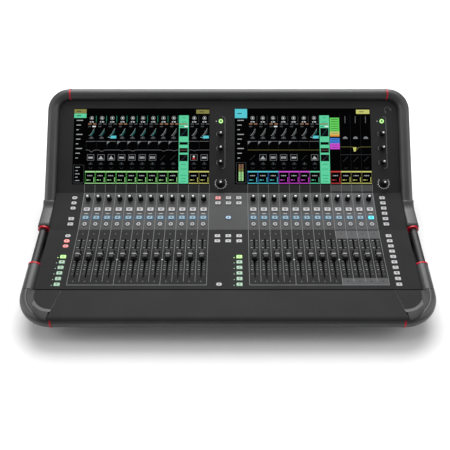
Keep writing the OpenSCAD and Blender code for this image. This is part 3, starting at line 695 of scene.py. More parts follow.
def side_keys(name, node, keys):
    """Keys as (panel, x, distance down the panel, oval, finish)."""
    shape = bmesh.new()
    for panel, x, down, is_oval, colour in keys:
        outline = oval(*SIDE_KEY) if is_oval else rectangle(*SIDE_KEY, corner=KEY_CORNER)
        signs = [disc(1.9, 0, 0, 12)] if is_oval else bar_sign(5.2, 1.8)
        add_key(shape, outline, signs, panel @ Matrix.Translation((x, -down, 0)), colour, SIGN)
    piece(name, shape, Matrix(), SIDE_FINISHES, node, "key_white", (node,))


bank_keys = [(i, BRIGHT if i == 4 else GREEN) for i in range(4, 10)]
left = [(KEYS, -SIDE_KEYS, upper(i), i < 3, PLAIN) for i in (0, 1, 2, 4, 5)]
left += [(FADERS, -SIDE_KEYS, lower(i), True, (PLAIN, HOT, RED)[i]) for i in range(3)]
left += [(FADERS, -SIDE_KEYS, lower(i), False, colour) for i, colour in bank_keys]
side_keys("left_key_caps", "left_keys", left)

right = [(KEYS, SIDE_KEYS, upper(i), False, PLAIN) for i in range(6)]
right += [(FADERS, SIDE_KEYS, lower(i), False, PLAIN) for i in range(10)]
side_keys("right_key_caps", "right_keys", right)

centre = [(KEYS, k * CENTRE_STEP, upper(i), False, RED if (i, k) == (0, -1) else PLAIN)
          for i in (0, 1) for k in (-1, 0, 1)]
centre += [(KEYS, 0, -MIX_ROW, True, BLUE)]
centre += [(FADERS, k * CENTRE_STEP, lower(i), False, PLAIN) for i in (0, 1) for k in (-1, 0, 1)]
centre += [(FADERS, LAYER_KEYS_X, lower(i), False, colour) for i, colour in bank_keys]
centre += [(FADERS, TALKBACK_X, lower(9), True, PLAIN)]
side_keys("centre_key_caps", "centre_keys", centre)

SCREEN_KEY_ROW = 184.0
shape = bmesh.new()
for x in SCREEN_COLUMNS:
    add_key(shape, oval(11.0, 10.99), [disc(2.4, 0, 0, 16)], Matrix.Translation((x, SCREEN_KEY_ROW, 0)))
piece("screen_key_caps", shape, SCREENS, (bright_green, dark_ink, green_key), "screen_keys", "key_green",
      ("screen_keys",))
print("Made", len(left) + len(right) + len(centre) + 2, "side, centre and screen keys")

# %% [markdown]
# ## Fader caps
#
# A fader cap is a saddle: high at both ends, hollow in the middle for a fingertip, narrower at the
# top than at the foot. It is lofted from cross-sections along the travel. A row of fine steps gives
# the finger its hold, and a moulded white line marks the level. The flat stem goes down through the
# slot to the carriage that the motor's belt pulls. One drawing serves all twenty-four.

# %% One fader cap, then all of them
CAP_W, CAP_L, CAP_H, CAP_UNDER = 13.0, 27.0, 12.0, 1.0
SADDLE = 1.6
SHOULDER = 10.0
CAP_LEAN = 1.3
STEM_W, STEM_L = 1.6, 6.0
CARRIAGE_TOP, CARRIAGE_END = -8.3, -13.3
GRIP_STEP, GRIP_RIDGE = 1.15, 0.22
LEVEL_LINE_HALF, LEVEL_LINE_LIFT = 0.6, 0.34
REST_DOWN = -77.0


def cap_height(y):
    """Height of the cap's top at a distance y from its middle."""
    if abs(y) > SHOULDER:
        fall = (abs(y) - SHOULDER) / (CAP_L / 2 - SHOULDER)
        return CAP_H - (CAP_H * 0.48) * fall ** 1.6
    return CAP_H - SADDLE * (1 + math.cos(math.pi * y / SHOULDER)) / 2


def cap_section(y, lift=0.0):
    """Points across the cap at y: up one side, over the top and down the other."""
    top = cap_height(y) + lift
    half = CAP_W / 2
    points = []
    for x, z in ((half, CAP_UNDER), (half - 0.1, 3.0), (half - CAP_LEAN, top - 1.4),
                 (half - CAP_LEAN - 0.4, top - 0.5), (half - CAP_LEAN - 1.3, top)):
        points.append((x + (lift if z > CAP_UNDER else 0), y, z))
    return points + [(-x, y, z) for x, _, z in points[::-1]]


def cap_drawing():
    shape = bmesh.new()
    stops = [-CAP_L / 2, -CAP_L / 2 + 0.8, -12, -11, -SHOULDER]
    grip = [i * GRIP_STEP for i in range(-7, 8)]
    stops += grip + [SHOULDER, 11, 12, CAP_L / 2 - 0.8, CAP_L / 2]
    loops = []
    for i, y in enumerate(stops):
        ridge = GRIP_RIDGE if y in grip and i % 2 else 0.0
        ends = -0.5 if abs(y) == CAP_L / 2 else 0.0
        loops.append([shape.verts.new(p) for p in cap_section(y, ridge + ends)])
    for a, b in zip(loops, loops[1:]):
        bridge(shape, a, b)
    shape.faces.new(loops[0])
    shape.faces.new(loops[-1][::-1])
    front, back = ([shape.verts.new((x * 1.01, side * LEVEL_LINE_HALF, z + LEVEL_LINE_LIFT))
                    for x, _, z in cap_section(0)[1:-1]] for side in (-1, 1))
    for i in range(len(front) - 1):
        shape.faces.new((front[i], back[i], back[i + 1], front[i + 1])).material_index = 1
    prism(shape, rectangle(STEM_W, STEM_L), CARRIAGE_TOP, CAP_UNDER + 2, 2)
    prism(shape, rectangle(8.0, STEM_L + 4), CARRIAGE_END, CARRIAGE_TOP, 2)
    bmesh.ops.recalc_face_normals(shape, faces=shape.faces)
    return mesh_of("cap", shape)


cap = cap_drawing()
cap_line = ink("moulded_white_line", (0.56, 0.56, 0.57), 0.5)
for i, x in enumerate(strip_x):
    node = f"fader_{i + 1:02d}"
    piece(node + "_cap", cap.copy(), FADERS @ Matrix.Translation((x, REST_DOWN, 0)),
          (cap_plastic, cap_line, zinc_plate), node, "fader_cap", (node,))
print("Made 24 caps of", len(cap.polygons), "faces each")

# %% [markdown]
# Each slot is closed by two felt lips that keep dust out, with the stem running between them.
# They are why a fader slot looks black.

# %% Felt lips under the slots
SLOT_LEAD = 27.0
SLOT_L = 110.0
SLOT_MIDDLE = -SLOT_LEAD - SLOT_L / 2
lips = bmesh.new()
for side in (-1, 1):
    prism(lips, rectangle(1.6, SLOT_L + 3, side * 1.85), -2.27, -2.03, 0)
on_strips("slot_dust_lips", lips, SLOT_MIDDLE, FADERS, (felt_and_hole_shade,))

# %% [markdown]
# ## Print on the panels
#
# Fine lines part the strips, run from under the screens over both panels and end in a bracket at
# the front. Over both banks the key panel carries a field a tone lighter than the side columns: it
# is painted sheen, standing for the soft reflection in the middle of the key panel. The last four
# strips of the right bank have light blocks, because they are the ones that an engineer assigns.
# The marks are thin faces just above the paint, in a few inks, so they stay sharp at any distance.
# The heights at which they lie, in millimetres, keep one layer of ink clear of the next.

# %% Fields and strip lines
BANKS = [(strip_x[first] - PITCH / 2, strip_x[first + BANK - 1] + PITCH / 2) for first in (0, BANK)]
SHEEN_FIELD_Z, BLOCK_Z, LINE_Z, MARK_Z, DOT_Z = 0.02, 0.04, 0.06, 0.07, 0.09
DOT_R = 1.7
REAR_DOTS, FRONT_DOTS = -12, -147
LINE = 0.9
LINES_END = 148.0
BRACKET_END = 156.5
BLOCK_STRIPS = 4
SCREEN_FOOT = 21.0

# Painted sheen: a lighter field over both banks of the key panel stands for its reflection
sheen_field = bmesh.new()
flat(sheen_field, rectangle(BANKS[1][1] - BANKS[0][0] + 2, KEY_PANEL_L - 1.5,
                       (BANKS[1][1] + BANKS[0][0]) / 2, -KEY_PANEL_L / 2), SHEEN_FIELD_Z)
piece("key_field_print", sheen_field, KEYS, (painted_sheen_tone,))


# Each light block as its name, panel, start and end, and the row of its dark dots if it has them
block_w = BLOCK_STRIPS * PITCH
for name, panel, start, end, row in (("screen", SCREENS, 3.5, 19.5, None),
                                     ("keys", KEYS, -1.5, -KEY_PANEL_L + 1, None),
                                     ("rear", FADERS, -2.0, -26.0, REAR_DOTS),
                                     ("front", FADERS, -138.0, -BRACKET_END, FRONT_DOTS)):
    shape = bmesh.new()
    outline = rectangle(block_w, abs(end - start), BANKS[1][1] - block_w / 2, (start + end) / 2)
    flat(shape, outline, BLOCK_Z)
    for x in strip_x[-BLOCK_STRIPS:] if row else ():
        flat(shape, disc(DOT_R, x, row, 12), DOT_Z, 1)
    piece("block_print_" + name, shape, panel, (pale_ink, dark_ink))

for name, panel, start, end in (("strip_lines_screen", SCREENS, 0.5, SCREEN_FOOT),
                                ("strip_lines_keys", KEYS, -1.0, -KEY_PANEL_L + 0.3),
                                ("strip_lines_faders", FADERS, -0.3, -LINES_END)):
    shape = bmesh.new()
    for low, high in BANKS:
        for i in range(BANK + 1):
            x = low + i * PITCH
            stroke(shape, [(x, start), (x, -BRACKET_END if panel is FADERS and i % 4 == 0 else end)],
                   LINE, LINE_Z)
        if panel is FADERS:
            stroke(shape, [(low - LINE / 2, -BRACKET_END), (high + LINE / 2, -BRACKET_END)],
                   LINE * 1.2, LINE_Z)
    piece(name, shape, panel, (grey_ink,))
print("Lines part", 2 * BANK, "strips")

# %% [markdown]
# A fader's scale is not even: the marks are close together where a small move means little. The
# list below gives each mark's distance down the panel and how strong it is, and the tree repeats
# that drawing on every strip, with the small dots above and below the slot.

# %% Fader scales and the marks of a strip
SCALE = [(32, 2), (37, 0), (42, 1), (47.5, 0), (53, 2), (60, 0), (67, 1), (74, 0), (81, 1), (88, 0),
         (92, 2), (97.5, 1), (103, 2), (109, 1), (115, 2), (121, 0), (127, 1)]
MARK_LENGTH = (2.6, 4.0, 4.6)
MARK_WIDTH = (0.5, 0.8, 1.2)
MARK_START = 3.6
scale_ink = ink("scale_print", (0.2, 0.205, 0.21))
bar_ink = ink("bar_print", (0.34, 0.345, 0.35))
scale = bmesh.new()
for down, strength in SCALE:
    for side in (-1, 1):
        length = MARK_LENGTH[strength]
        flat(scale, rectangle(length, MARK_WIDTH[strength], side * (MARK_START + length / 2), -down),
             MARK_Z, 1 if strength == 2 and side < 0 else 0)
for down in (34.5, 39.5, 44.5, 49.5):
    flat(scale, rectangle(1.6, 1.6, -9.4, -down), MARK_Z, 2)
for row in (REAR_DOTS, FRONT_DOTS):
    flat(scale, disc(DOT_R, 0, row, 12), MARK_Z, 2)
on_strips("fader_scales", scale, 0.0, FADERS, (scale_ink, bar_ink, faint_ink))

marks = bmesh.new()
flat(marks, rectangle(9.0, 2.2), MARK_Z)
on_strips("light_bars", marks, MARK_ROW, KEYS, (bar_ink,))
# The halos round the mix keys are painted light: glowing faces on the panel
for name, w, h, height, colour, strength in (
        ("mix_halo_wide", 22.0, 15.5, 0.035, (0.015, 0.045, 0.075), 0.6),
        ("mix_halo_near", 18.0, 12.5, 0.05, (0.02, 0.075, 0.13), 0.75)):
    halo = bmesh.new()
    flat(halo, rectangle(w, h, corner=3.5), height)
    on_strips(name, halo, MIX_ROW, KEYS, (light(name, colour, strength, body=0.3),))
encoder_mark = bmesh.new()
for angle in range(-135, 136, 27):
    turn = Matrix.Rotation(math.radians(angle), 4, "Z")
    flat(encoder_mark, rectangle(0.8, 1.8, 0, 9.3), MARK_Z, place=turn)
on_strips("encoder_marks", encoder_mark, ENCODER_ROW, KEYS, (faint_ink,))

dots = bmesh.new()
for low, _ in BANKS:
    for i in (4, 8):
        flat(dots, disc(DOT_R, low + i * PITCH, -87, 16), DOT_Z)
piece("bank_dots", dots, FADERS, (white_ink,))

leds = bmesh.new()
for x in (-SIDE_KEYS, LAYER_KEYS_X):
    for i in range(4, 10):
        prism(leds, disc(1.3, x - 12, -lower(i) - 2, 12), 0, 0.6, 0 if i > 4 else 1, 0.7)
piece("bank_key_leds", leds, FADERS, (green_key, bright_green), slot="key_green")
print("Scales, light bars, halos and dots are printed")

# %% [markdown]
# Beside each screen a thin bracket ties the round key and its three knobs together, a short arc
# marks each knob, and a ring with fine steps lies round the large knob. Strokes along circular arcs
# come from one function of angle.

# %% Marks beside the screens
def arc_points(x, y, radius, start, end, steps=20):
    return [(x + radius * math.cos(math.radians(start + (end - start) * i / steps)),
             y + radius * math.sin(math.radians(start + (end - start) * i / steps)))
            for i in range(steps + 1)]


beside = bmesh.new()
for x in SCREEN_COLUMNS:
    edge, low, high, bend = x + 10.6, 62.5, 195.5, 5.0
    line = [(edge - bend - 3, low)] + arc_points(edge - bend, low + bend, bend, -90, 0, 6)
    line += arc_points(edge - bend, high - bend, bend, 0, 90, 6) + [(edge - bend - 3, high)]
    stroke(beside, line, 0.8, LINE_Z)
    for w in SCREEN_KNOB_ROWS:
        stroke(beside, arc_points(x, w, 10.5, 150, 210, 8), 0.9, LINE_Z)
    stroke(beside, arc_points(x, MAIN_KNOB_ROW, 13.4, -220, 40, 40), 0.9, LINE_Z, 1)
    for angle in range(-220, 41, 26):
        turn = Matrix.Translation((x, MAIN_KNOB_ROW, 0)) @ Matrix.Rotation(math.radians(angle - 90), 4, "Z")
        flat(beside, rectangle(0.7, 1.8, 0, 15.2), LINE_Z, 1, turn)
    flat(beside, disc(1.2, x - 11.5, SCREEN_KEY_ROW, 12), LINE_Z, 1)
piece("screen_marks", beside, SCREENS, (grey_ink, white_ink))

# A plain headphone sign near the top right corner
HEADPHONE_PLACE, HEADPHONE_TURN = (404, 214, 0), 0.5
sign = bmesh.new()
stroke(sign, arc_points(0, 0, 7.5, 0, 180, 16), 1.1, LINE_Z)
for side in (-1, 1):
    flat(sign, rectangle(3.2, 6.0, side * 7.2, -2.6, corner=1.0), LINE_Z)
sign_place = Matrix.Translation(HEADPHONE_PLACE) @ Matrix.Rotation(HEADPHONE_TURN, 4, "Z")
piece("headphone_sign", sign, SCREENS @ sign_place, (faint_ink,))
print("Marked both screen columns")

# %% [markdown]
# ## What the screens show
#
# Each screen is a page of twelve columns over its bank, one for each strip: a gain knob, level
# lines, tags, curves and a name box at the foot. A column is a set of flat shapes that glow, a
# tenth of a millimetre above the glass. Every colour is one finish, and a small pen object keeps
# the shapes of a page by colour. Nothing is written: lines of text are short bars.

# %% Glowing colours and the pen
PAGE_Z = 0.25
INK_Z = 0.1


def glow(name, colour):
    """The light of a screen: dark by itself, and lit by the colour on its own sockets."""
    material, tree, shader, where = new_material("screen_" + name)
    smear = add_node(tree, "ShaderNodeTexNoise", {"Vector": where, "Scale": 25.0})
    feed(tree, shader, {
        "Base Color": ramp(tree, smear, [[c * share for c in colour] for share in (0.02, 0.04)]),
        "Specular IOR Level": 0.05, "Roughness": 0.3, "Emission Color": (*colour, 1),
        "Emission Strength": 1.0})
    return material


SCREEN_COLOURS = {
    "black": (0.002, 0.002, 0.003), "white": (0.75, 0.78, 0.78), "pale": (0.38, 0.4, 0.4),
    "grey": (0.2, 0.21, 0.22), "dim": (0.055, 0.06, 0.062), "dark": (0.018, 0.022, 0.024),
    "mint": (0.11, 0.6, 0.33), "mint_deep": (0.03, 0.36, 0.19), "green": (0.12, 0.6, 0.1),
    "green_pale": (0.36, 0.72, 0.3), "teal": (0.008, 0.075, 0.07), "cyan": (0.09, 0.55, 0.62),
    "cyan_pale": (0.3, 0.68, 0.75), "yellow": (0.55, 0.55, 0.16), "olive": (0.22, 0.21, 0.06),
    "orange": (0.72, 0.3, 0.05), "red": (0.55, 0.05, 0.05), "blue": (0.05, 0.2, 0.62),
    "magenta": (0.58, 0.07, 0.6), "rust": (0.24, 0.13, 0.08),
}
screen_colours = {name: glow(name, colour) for name, colour in SCREEN_COLOURS.items()}
COLOUR_INDEX = {name: i for i, name in enumerate(screen_colours)}


class Pen:
    """Draws flat shapes on a page in millimetres, from its lower left corner."""

    def __init__(self):
        self.shape = bmesh.new()

    def fill(self, points, colour, lift=0.0):
        flat(self.shape, points, INK_Z + lift, COLOUR_INDEX[colour])

    def box(self, x, y, w, h, colour, lift=0.0):
        self.fill(rectangle(w, h, x + w / 2, y + h / 2), colour, lift)

    def line(self, points, width, colour, lift=0.0):
        stroke(self.shape, points, width, INK_Z + lift, COLOUR_INDEX[colour])

    def frame(self, x, y, w, h, width, colour):
        for row in (y, y + h - width):
            self.box(x, row, w, width, colour)
        for side in (x, x + w - width):
            self.box(side, y + width, width, h - 2 * width, colour)

    def words(self, x, y, w, h, colour, lengths=(0.5, 0.3)):
        """A line of writing as bars, with spaces between them."""
        start, gap = x, w * 0.2 / max(1, len(lengths) - 1)
        for share in lengths:
            self.box(start, y, w * share, h, colour, 0.04)
            start += w * share + gap

    def place(self, name, x, y):
        piece(name, self.shape, SCREENS @ Matrix.Translation((x, y, PAGE_Z)), screen_colours.values())


print(len(screen_colours), "screen colours")

# %% [markdown]
# A column is laid out from the top: gain knob, two lines of tags, the compressor's curve over its
# small fan, the gate line, the equaliser line, an effect's icon, a second fan, the pan arc and the
# name box. The table of rows gives their heights, in millimetres above the foot of the screen.

# %% One column of a page
LABEL_W = 32.5
PAGE_W = LABEL_W + BANK * PITCH
PAGE_FOOT = 21.2
ROWS = {"knob": 171, "names": 160, "tags": 154, "tags_low": 147.5, "curve": 125, "fan": 117,
        "gate": 110, "eq": 88, "icon": 60, "fan_low": 50, "arc": 40, "box": 2}


def gain_knob(pen, x, y):
    pen.fill(disc(5.0, x, y, 20), "pale")
    pen.fill(disc(4.1, x, y, 20), "black", 0.02)
    pen.fill(disc(2.0, x, y, 16), "white", 0.04)
    pen.line([(x, y), (x + 2.6, y + 3.4)], 0.8, "grey", 0.06)


def curve(pen, x, y, colour):
    """A compressor's curve: a grey sail with a bright edge."""
    sail = [(x + 7 + 13 * t, y + 19 * t ** 1.4) for t in (0, 0.25, 0.5, 0.75, 1.0)]
    pen.fill(sail + [(x + 20, y + 9), (x + 14, y)], colour)
    pen.line(sail, 0.6, "pale", 0.03)


def fan(pen, x, y, colour):
    pen.fill(arc_points(x + 13, y, 6, 0, 180, 8), colour)
    pen.line([(x + 13, y), (x + 13, y + 6)], 0.5, "grey", 0.03)


def pan_arc(pen, x):
    pen.line(arc_points(x + 13, ROWS["arc"] + 5, 4.5, 200, 340, 8), 0.6, "dim")


def gate_line(pen, x, y, corner):
    """A level line; with a corner, it starts with a rounded bend."""
    if corner:
        pen.fill([(x + 1, y), (x + 1, y - 7.5)]
                 + [(x + 1.8 + 6 * t, y - 7.5 + 6.3 * math.sin(t * 1.5)) for t in (0.1, 0.3, 0.6, 1.0)]
                 + [(x + 9, y)], "grey")
    pen.box(x, y, PITCH - 2, 0.8, "grey", 0.02)
    pen.box(x, y - 18, 0.5, 18, "dark")


def eq_line(pen, x, y, depth, colour):
    points = [(x + PITCH * t, y - depth * math.exp(-((t - 0.55) / 0.16) ** 2))
              for t in (0, 0.2, 0.35, 0.45, 0.55, 0.65, 0.75, 1.0)]
    pen.line(points, 0.7, colour)


def icon(pen, x, y, kind):
    """An effect's icon: 0 a slanting line, 1 a bar, 2 a hill, 3 a row of blocks, 4 a dot on a bar."""
    if kind == 0:
        pen.line([(x + 6, y + 2), (x + 19, y + 15)], 0.6, "dim")
        return
    pen.frame(x + 4, y + 1, 17.5, 15.5, 0.8, "grey")
    if kind == 1:
        pen.box(x + 7, y + 6, 11.5, 4.5, "pale")
    elif kind == 2:
        hill = ((6, 4), (19.5, 4), (16, 8), (12.5, 13), (9, 8))
        pen.fill([(x + across, y + up) for across, up in hill], "pale")
    elif kind == 3:
        for i in range(4):
            pen.box(x + 6.5 + i * 3.2, y + 5.5, 2.0, 6, "pale")
    else:
        pen.fill(disc(2.4, x + 12.7, y + 11, 10), "white")
        pen.fill(rectangle(6.5, 4, x + 12.7, y + 6), "red", 0.02)


def name_box(pen, x, colour, pale):
    """The strip's name box between two bars of its colour, with its meter at the right."""
    y = ROWS["box"]
    pen.frame(x + 0.6, y, PITCH - 1.4, 31, 0.5, colour)
    pen.box(x, y, PITCH - 0.8, 1.7, pale, 0.03)
    pen.box(x, y + 28.5, PITCH - 0.8, 3.4, pale, 0.03)
    pen.words(x + 6, y + 19, 13, 2.2, "pale", (0.15, 0.4, 0.2))
    pen.words(x + 4, y + 8, 11, 2.0, pale, (0.55, 0.15))
    pen.box(x + PITCH - 4.2, y + 4, 1.4, 12, pale, 0.03)


def column(pen, i, box, kind, level=False, rust=False, tag_on=False, sail=False, cyan_tag=False,
           corner=False, dip=0, eq="grey"):
    """Draws one strip's column. Its arguments are what differs from strip to strip."""
    x = LABEL_W + i * PITCH
    gain_knob(pen, x + 13, ROWS["knob"])
    pen.words(x + 8, ROWS["names"], 10, 2.0, "white", (0.3, 0.5))
    pen.box(x + PITCH - 2.2, ROWS["names"], 0.8, 17, "mint_deep" if level else "dim")
    pen.words(x + 4, ROWS["tags"], 20, 3.4, "rust" if rust else "dim", (0.42, 0.42))
    pen.words(x + 4, ROWS["tags_low"], 20, 3.0, "dim", (0.38,))
    if tag_on:
        pen.box(x + 15, ROWS["tags_low"], 8.5, 3.2, "white", 0.04)
    curve(pen, x, ROWS["curve"], "teal" if sail else "dim")
    fan(pen, x, ROWS["fan"], "dim")
    if cyan_tag:
        pen.box(x + 10, ROWS["fan"] + 1, 14, 7, "cyan", 0.06)
        pen.box(x + 3, ROWS["fan"] + 3.5, 7, 1.0, "cyan_pale", 0.06)
    gate_line(pen, x, ROWS["gate"], corner)
    eq_line(pen, x, ROWS["eq"], dip, eq)
    icon(pen, x, ROWS["icon"], kind)
    fan(pen, x, ROWS["fan_low"], "dark")
    pan_arc(pen, x)
    name_box(pen, x, *box)


def marked_column(pen, i):
    """The chosen strip: a mint column with dark windows for its curve, line and icon."""
    x = LABEL_W + i * PITCH
    pen.box(x + 0.5, 2, PITCH - 1.5, 176, "mint", 0.08)
    for row, down, h in (("curve", 2, 22), ("gate", 8.5, 7), ("eq", 7, 12), ("icon", 1, 17)):
        pen.box(x + 2.2, ROWS[row] - down, PITCH - 5, h, "black", 0.12)
    pen.line([(x + across, ROWS["curve"] + up) for across, up in ((6, 0), (13, 8), (20, 17))], 1.2, "teal",
             0.14)
    pen.box(x + 2.2, ROWS["eq"] - 1, PITCH - 5, 0.9, "rust", 0.14)
    pen.line([(x + 6, ROWS["icon"]), (x + 20, ROWS["icon"] + 14)], 0.9, "dim", 0.14)
    for y, w in ((ROWS["names"], 12), (ROWS["knob"], 9), (50, 12), (38, 15), (22, 15), (14, 11), (7, 13)):
        pen.box(x + 13 - w / 2, y, w, 1.7, "mint_deep", 0.14)
    for across, row, w, colour in ((2, "tags", 20, "rust"), (14, "tags_low", 9, "white"),
                                   (2, "tags_low", 10, "mint_deep")):
        pen.box(x + across, ROWS[row], w, 3.0, colour, 0.14)


print("A column has", len(ROWS), "rows")

# %% [markdown]
# The two pages differ in their tabs, in their colours and in what their last columns hold. The left
# page mixes green inputs and yellow outputs. The right one shows blue and magenta groups, a colour
# list that covers one column, and a level meter in its label column.

# %% Both pages
GREEN_BOX = ("green", "green_pale")
YELLOW_BOX = ("olive", "yellow")
BLUE_BOX = ("blue", "cyan")
MAGENTA_BOX = ("magenta", "magenta")
RED_BOX = ("red", "red")
GREY_BOX = ("grey", "mint")
LEFT_ICONS = (1, 2, 2, 1, 3, 3, 3, 0, 0, 0, 4, 1)
LEFT_DIPS = (5, 4, 0, 2, 3, 0, 0, 3, 2, 0, 2, 0)
LEFT_GREEN = 9
RIGHT_ICONS = (0, 2, 3, 3, 1, 0, 2)
RIGHT_BOXES = (BLUE_BOX,) * 3 + (MAGENTA_BOX,) * 3 + (GREY_BOX,)
LEFT_MARKED, RIGHT_MARKED, LIST_COLUMN, DIP_COLUMN = 9, 7, 8, 10


def labels(pen, tabs):
    """The label column: its tabs, the names of the rows and a scale at its foot."""
    for y, h, colour in tabs:
        pen.box(0.5, y, LABEL_W - 1.5, h, colour)
        pen.words(7, y + h / 2 - 1, 18, 2.0, "dark", (0.6,))
    for n in range(9):
        pen.words(7, 164 - n * 12.2, 20, 2.0, "pale", ((0.8,), (0.55,), (0.3,))[n % 3])
    pen.line(arc_points(9, 8, 6, 180, 270, 6) + arc_points(LABEL_W - 9, 8, 6, 270, 360, 6), 0.6, "dim")


left_page = Pen()
labels(left_page, ((183.5, 11, "olive"), (171.5, 11.5, "mint")))
for i in range(BANK):
    if i != LEFT_MARKED:
        column(left_page, i, GREEN_BOX if i < LEFT_GREEN else YELLOW_BOX, LEFT_ICONS[i],
               level=i < LEFT_GREEN, rust=i in (0, 3, 7, 8), tag_on=i == 0, sail=i < 7,
               cyan_tag=i in (2, 11), corner=1 < i < LEFT_GREEN, dip=LEFT_DIPS[i])
marked_column(left_page, LEFT_MARKED)
left_page.box(PAGE_W - 34, 182.5, 33, 10.5, "olive")
left_page.words(PAGE_W - 26, 186.5, 17, 1.8, "dark", (0.7,))
left_page.frame(3, 4, LABEL_W - 6, 46, 0.7, "dim")
for row in range(5):
    left_page.words(8, 9 + row * 8.4, 18, 1.6, "pale", ((0.6,), (0.35,))[row % 2])

right_page = Pen()
labels(right_page, ((171, 24, "cyan"),))
for i in range(RIGHT_MARKED):
    column(right_page, i, RIGHT_BOXES[i], RIGHT_ICONS[i], rust=i in (0, 2, 5), tag_on=i == 2, sail=i == 6,
           cyan_tag=i == 6, corner=i < 5, eq="olive")
marked_column(right_page, RIGHT_MARKED)
right_page.box(PAGE_W - 36, 182, 34, 11, "yellow")
right_page.words(PAGE_W - 28, 186.5, 17, 1.8, "dark", (0.7,))

# The colour list: six greens that turn towards yellow, then blue and magenta
list_x = LABEL_W + LIST_COLUMN * PITCH
for n, (colour, top, h) in enumerate((("green", 172, 36), ("yellow", 136, 11), ("orange", 128, 5),
                                      ("blue", 119, 14), ("magenta", 105, 15))):
    right_page.box(list_x + 0.5, top - h, PITCH - 2, h, colour, 0.02 * n)
    for step in range(int(h // 6)):
        right_page.box(list_x + 4, top - 5 - step * 6, PITCH - 9, 1.2, "dark", 0.12)
name_box(right_page, list_x, *RED_BOX)
for i in range(LIST_COLUMN + 1, BANK):
    x = LABEL_W + i * PITCH
    right_page.box(x + 13, 158, 0.9, 18, "grey")
    right_page.box(x + 12, 166, 2.9, 4, "dim")
    fan(right_page, x, ROWS["fan"], "grey")
    eq_line(right_page, x, ROWS["eq"] + 8, 9 if i == DIP_COLUMN else 0, "olive")
    eq_line(right_page, x, ROWS["eq"] - 12, 0, "dim")
    icon(right_page, x, ROWS["icon"] - 4, 0)
    pan_arc(right_page, x)
    name_box(right_page, x, *YELLOW_BOX)
    right_page.box(x, 30, 0.5, 150, "dark")
right_page.fill([(LABEL_W + DIP_COLUMN * PITCH + across, y)
                 for across, y in ((6, 95), (15, 95), (12, 84), (8, 84))], "yellow", 0.04)

# The level meter: two rows of segments, green with orange on top
right_page.frame(4, 4, LABEL_W - 8, 52, 0.8, "dim")
for bar in range(2):
    for n in range(11):
        colour = "green_pale" if n < 6 else "olive" if n < 8 else "rust"
        right_page.box(10 + bar * 7, 9 + n * 3.9, 5, 3.3, colour)

for pen, side in ((left_page, "left"), (right_page, "right")):
    pen.place("screen_page_" + side, middle_x("display_" + side) - PAGE_W / 2, PAGE_FOOT)
print("Each page is", PAGE_W, "mm wide")

# %% [markdown]
# ## A black bead, painted shade, in the gap between the case and the tubes
#
# The case hangs inside the tube frame, about a millimetre away from it, and a black bead fills that
# gap. It is painted shade: the bead makes the gap read as a dark shadow line instead of showing the
# floor through it. The bead follows the tubes, so it is a sweep: a line through the corners of its
# way, rounded by Fillet Curve, and a small circle run along it by Curve to Mesh. The same tree
# would lay any other bead, so its radius, fillet and finish are named inputs.

# %% A tree that sweeps a bead along a path
def bead_tree():
    tree, entry, end = new_tree("Bead along a path", [
        ("Path", "NodeSocketGeometry"), ("Fillet", "NodeSocketFloat"), ("Radius", "NodeSocketFloat"),
        ("Finish", "NodeSocketMaterial")])
    given = entry.outputs
    line = add_node(tree, "GeometryNodeMeshToCurve", {"Mesh": given["Path"]})
    round_off = add_node(tree, "GeometryNodeFilletCurve",
                         {"Curve": line, "Radius": given["Fillet"], "Count": 8}, mode="POLY")
    circle = add_node(tree, "GeometryNodeCurvePrimitiveCircle", {"Radius": given["Radius"], "Resolution": 10})
    tube = add_node(tree, "GeometryNodeCurveToMesh",
                    {"Curve": round_off, "Profile Curve": circle, "Fill Caps": True})
    smooth = add_node(tree, "GeometryNodeSetShadeSmooth", {"Geometry": tube})
    realize = add_node(tree, "GeometryNodeRealizeInstances", {"Geometry": smooth})
    paint = add_node(tree, "GeometryNodeSetMaterial", {"Geometry": realize, "Material": given["Finish"]})
    feed(tree, end, {"Geometry": paint})
    return tree


along_path = bead_tree()


def bead(name, points, radius, fillet, coat):
    """A bead through points in millimetres."""
    path = line_mesh(name + "_path", points, [(i, i + 1) for i in range(len(points) - 1)])
    piece(name, run_tree(along_path, name, path, fillet=fillet, radius=radius, finish=coat))


print("The tree is called", along_path.name)

# %% Where the tubes run
SIDE_X = BODY_HALF + 1.1 + TUBE_R
TOP_BEND_R, FRONT_BEND_R = 41.0, 66.0
SCREEN_L = 254.0
FADER_L = 169.0
GRIP_BACK, GRIP_L, RING_T = 66.0, 105.0, 3.5


def heading(slope):
    return Vector((math.cos(slope), math.sin(slope)))


def cross(a, b):
    return a.x * b.y - a.y * b.x


rail_way, screen_way = heading(FADER_SLOPE), heading(SCREEN_SLOPE)
reach = Vector((junction_y - rail_y, junction_z - rail_z))
knee_t = cross(reach, screen_way) / math.sin(SCREEN_SLOPE - FADER_SLOPE)
knee_w = cross(reach, rail_way) / math.sin(SCREEN_SLOPE - FADER_SLOPE)
ring_rear_t = knee_t - GRIP_BACK
ring_front_t = ring_rear_t - GRIP_L
palm_edge = Vector((crease_y, crease_z)) - FADER_L * rail_way
joint_t = (palm_edge.x - rail_y) / math.cos(FADER_SLOPE)
print("The knee is", round(knee_t, 1), "mm from the front bar and", round(knee_w, 1), "mm from the fold")

# %% Lay the shade beads
SHADE_BEAD_R = 1.35
HALF_GAP = 0.55
shade_bead_x = BODY_HALF + HALF_GAP
shade_bead_top = SCREEN_L - TUBE_R - HALF_GAP
half = [RAIL @ Vector((shade_bead_x, ring_rear_t + 2, 0)), RAIL @ Vector((shade_bead_x, knee_t, 0)),
        SCREENS @ Vector((shade_bead_x, shade_bead_top, -0.8))]
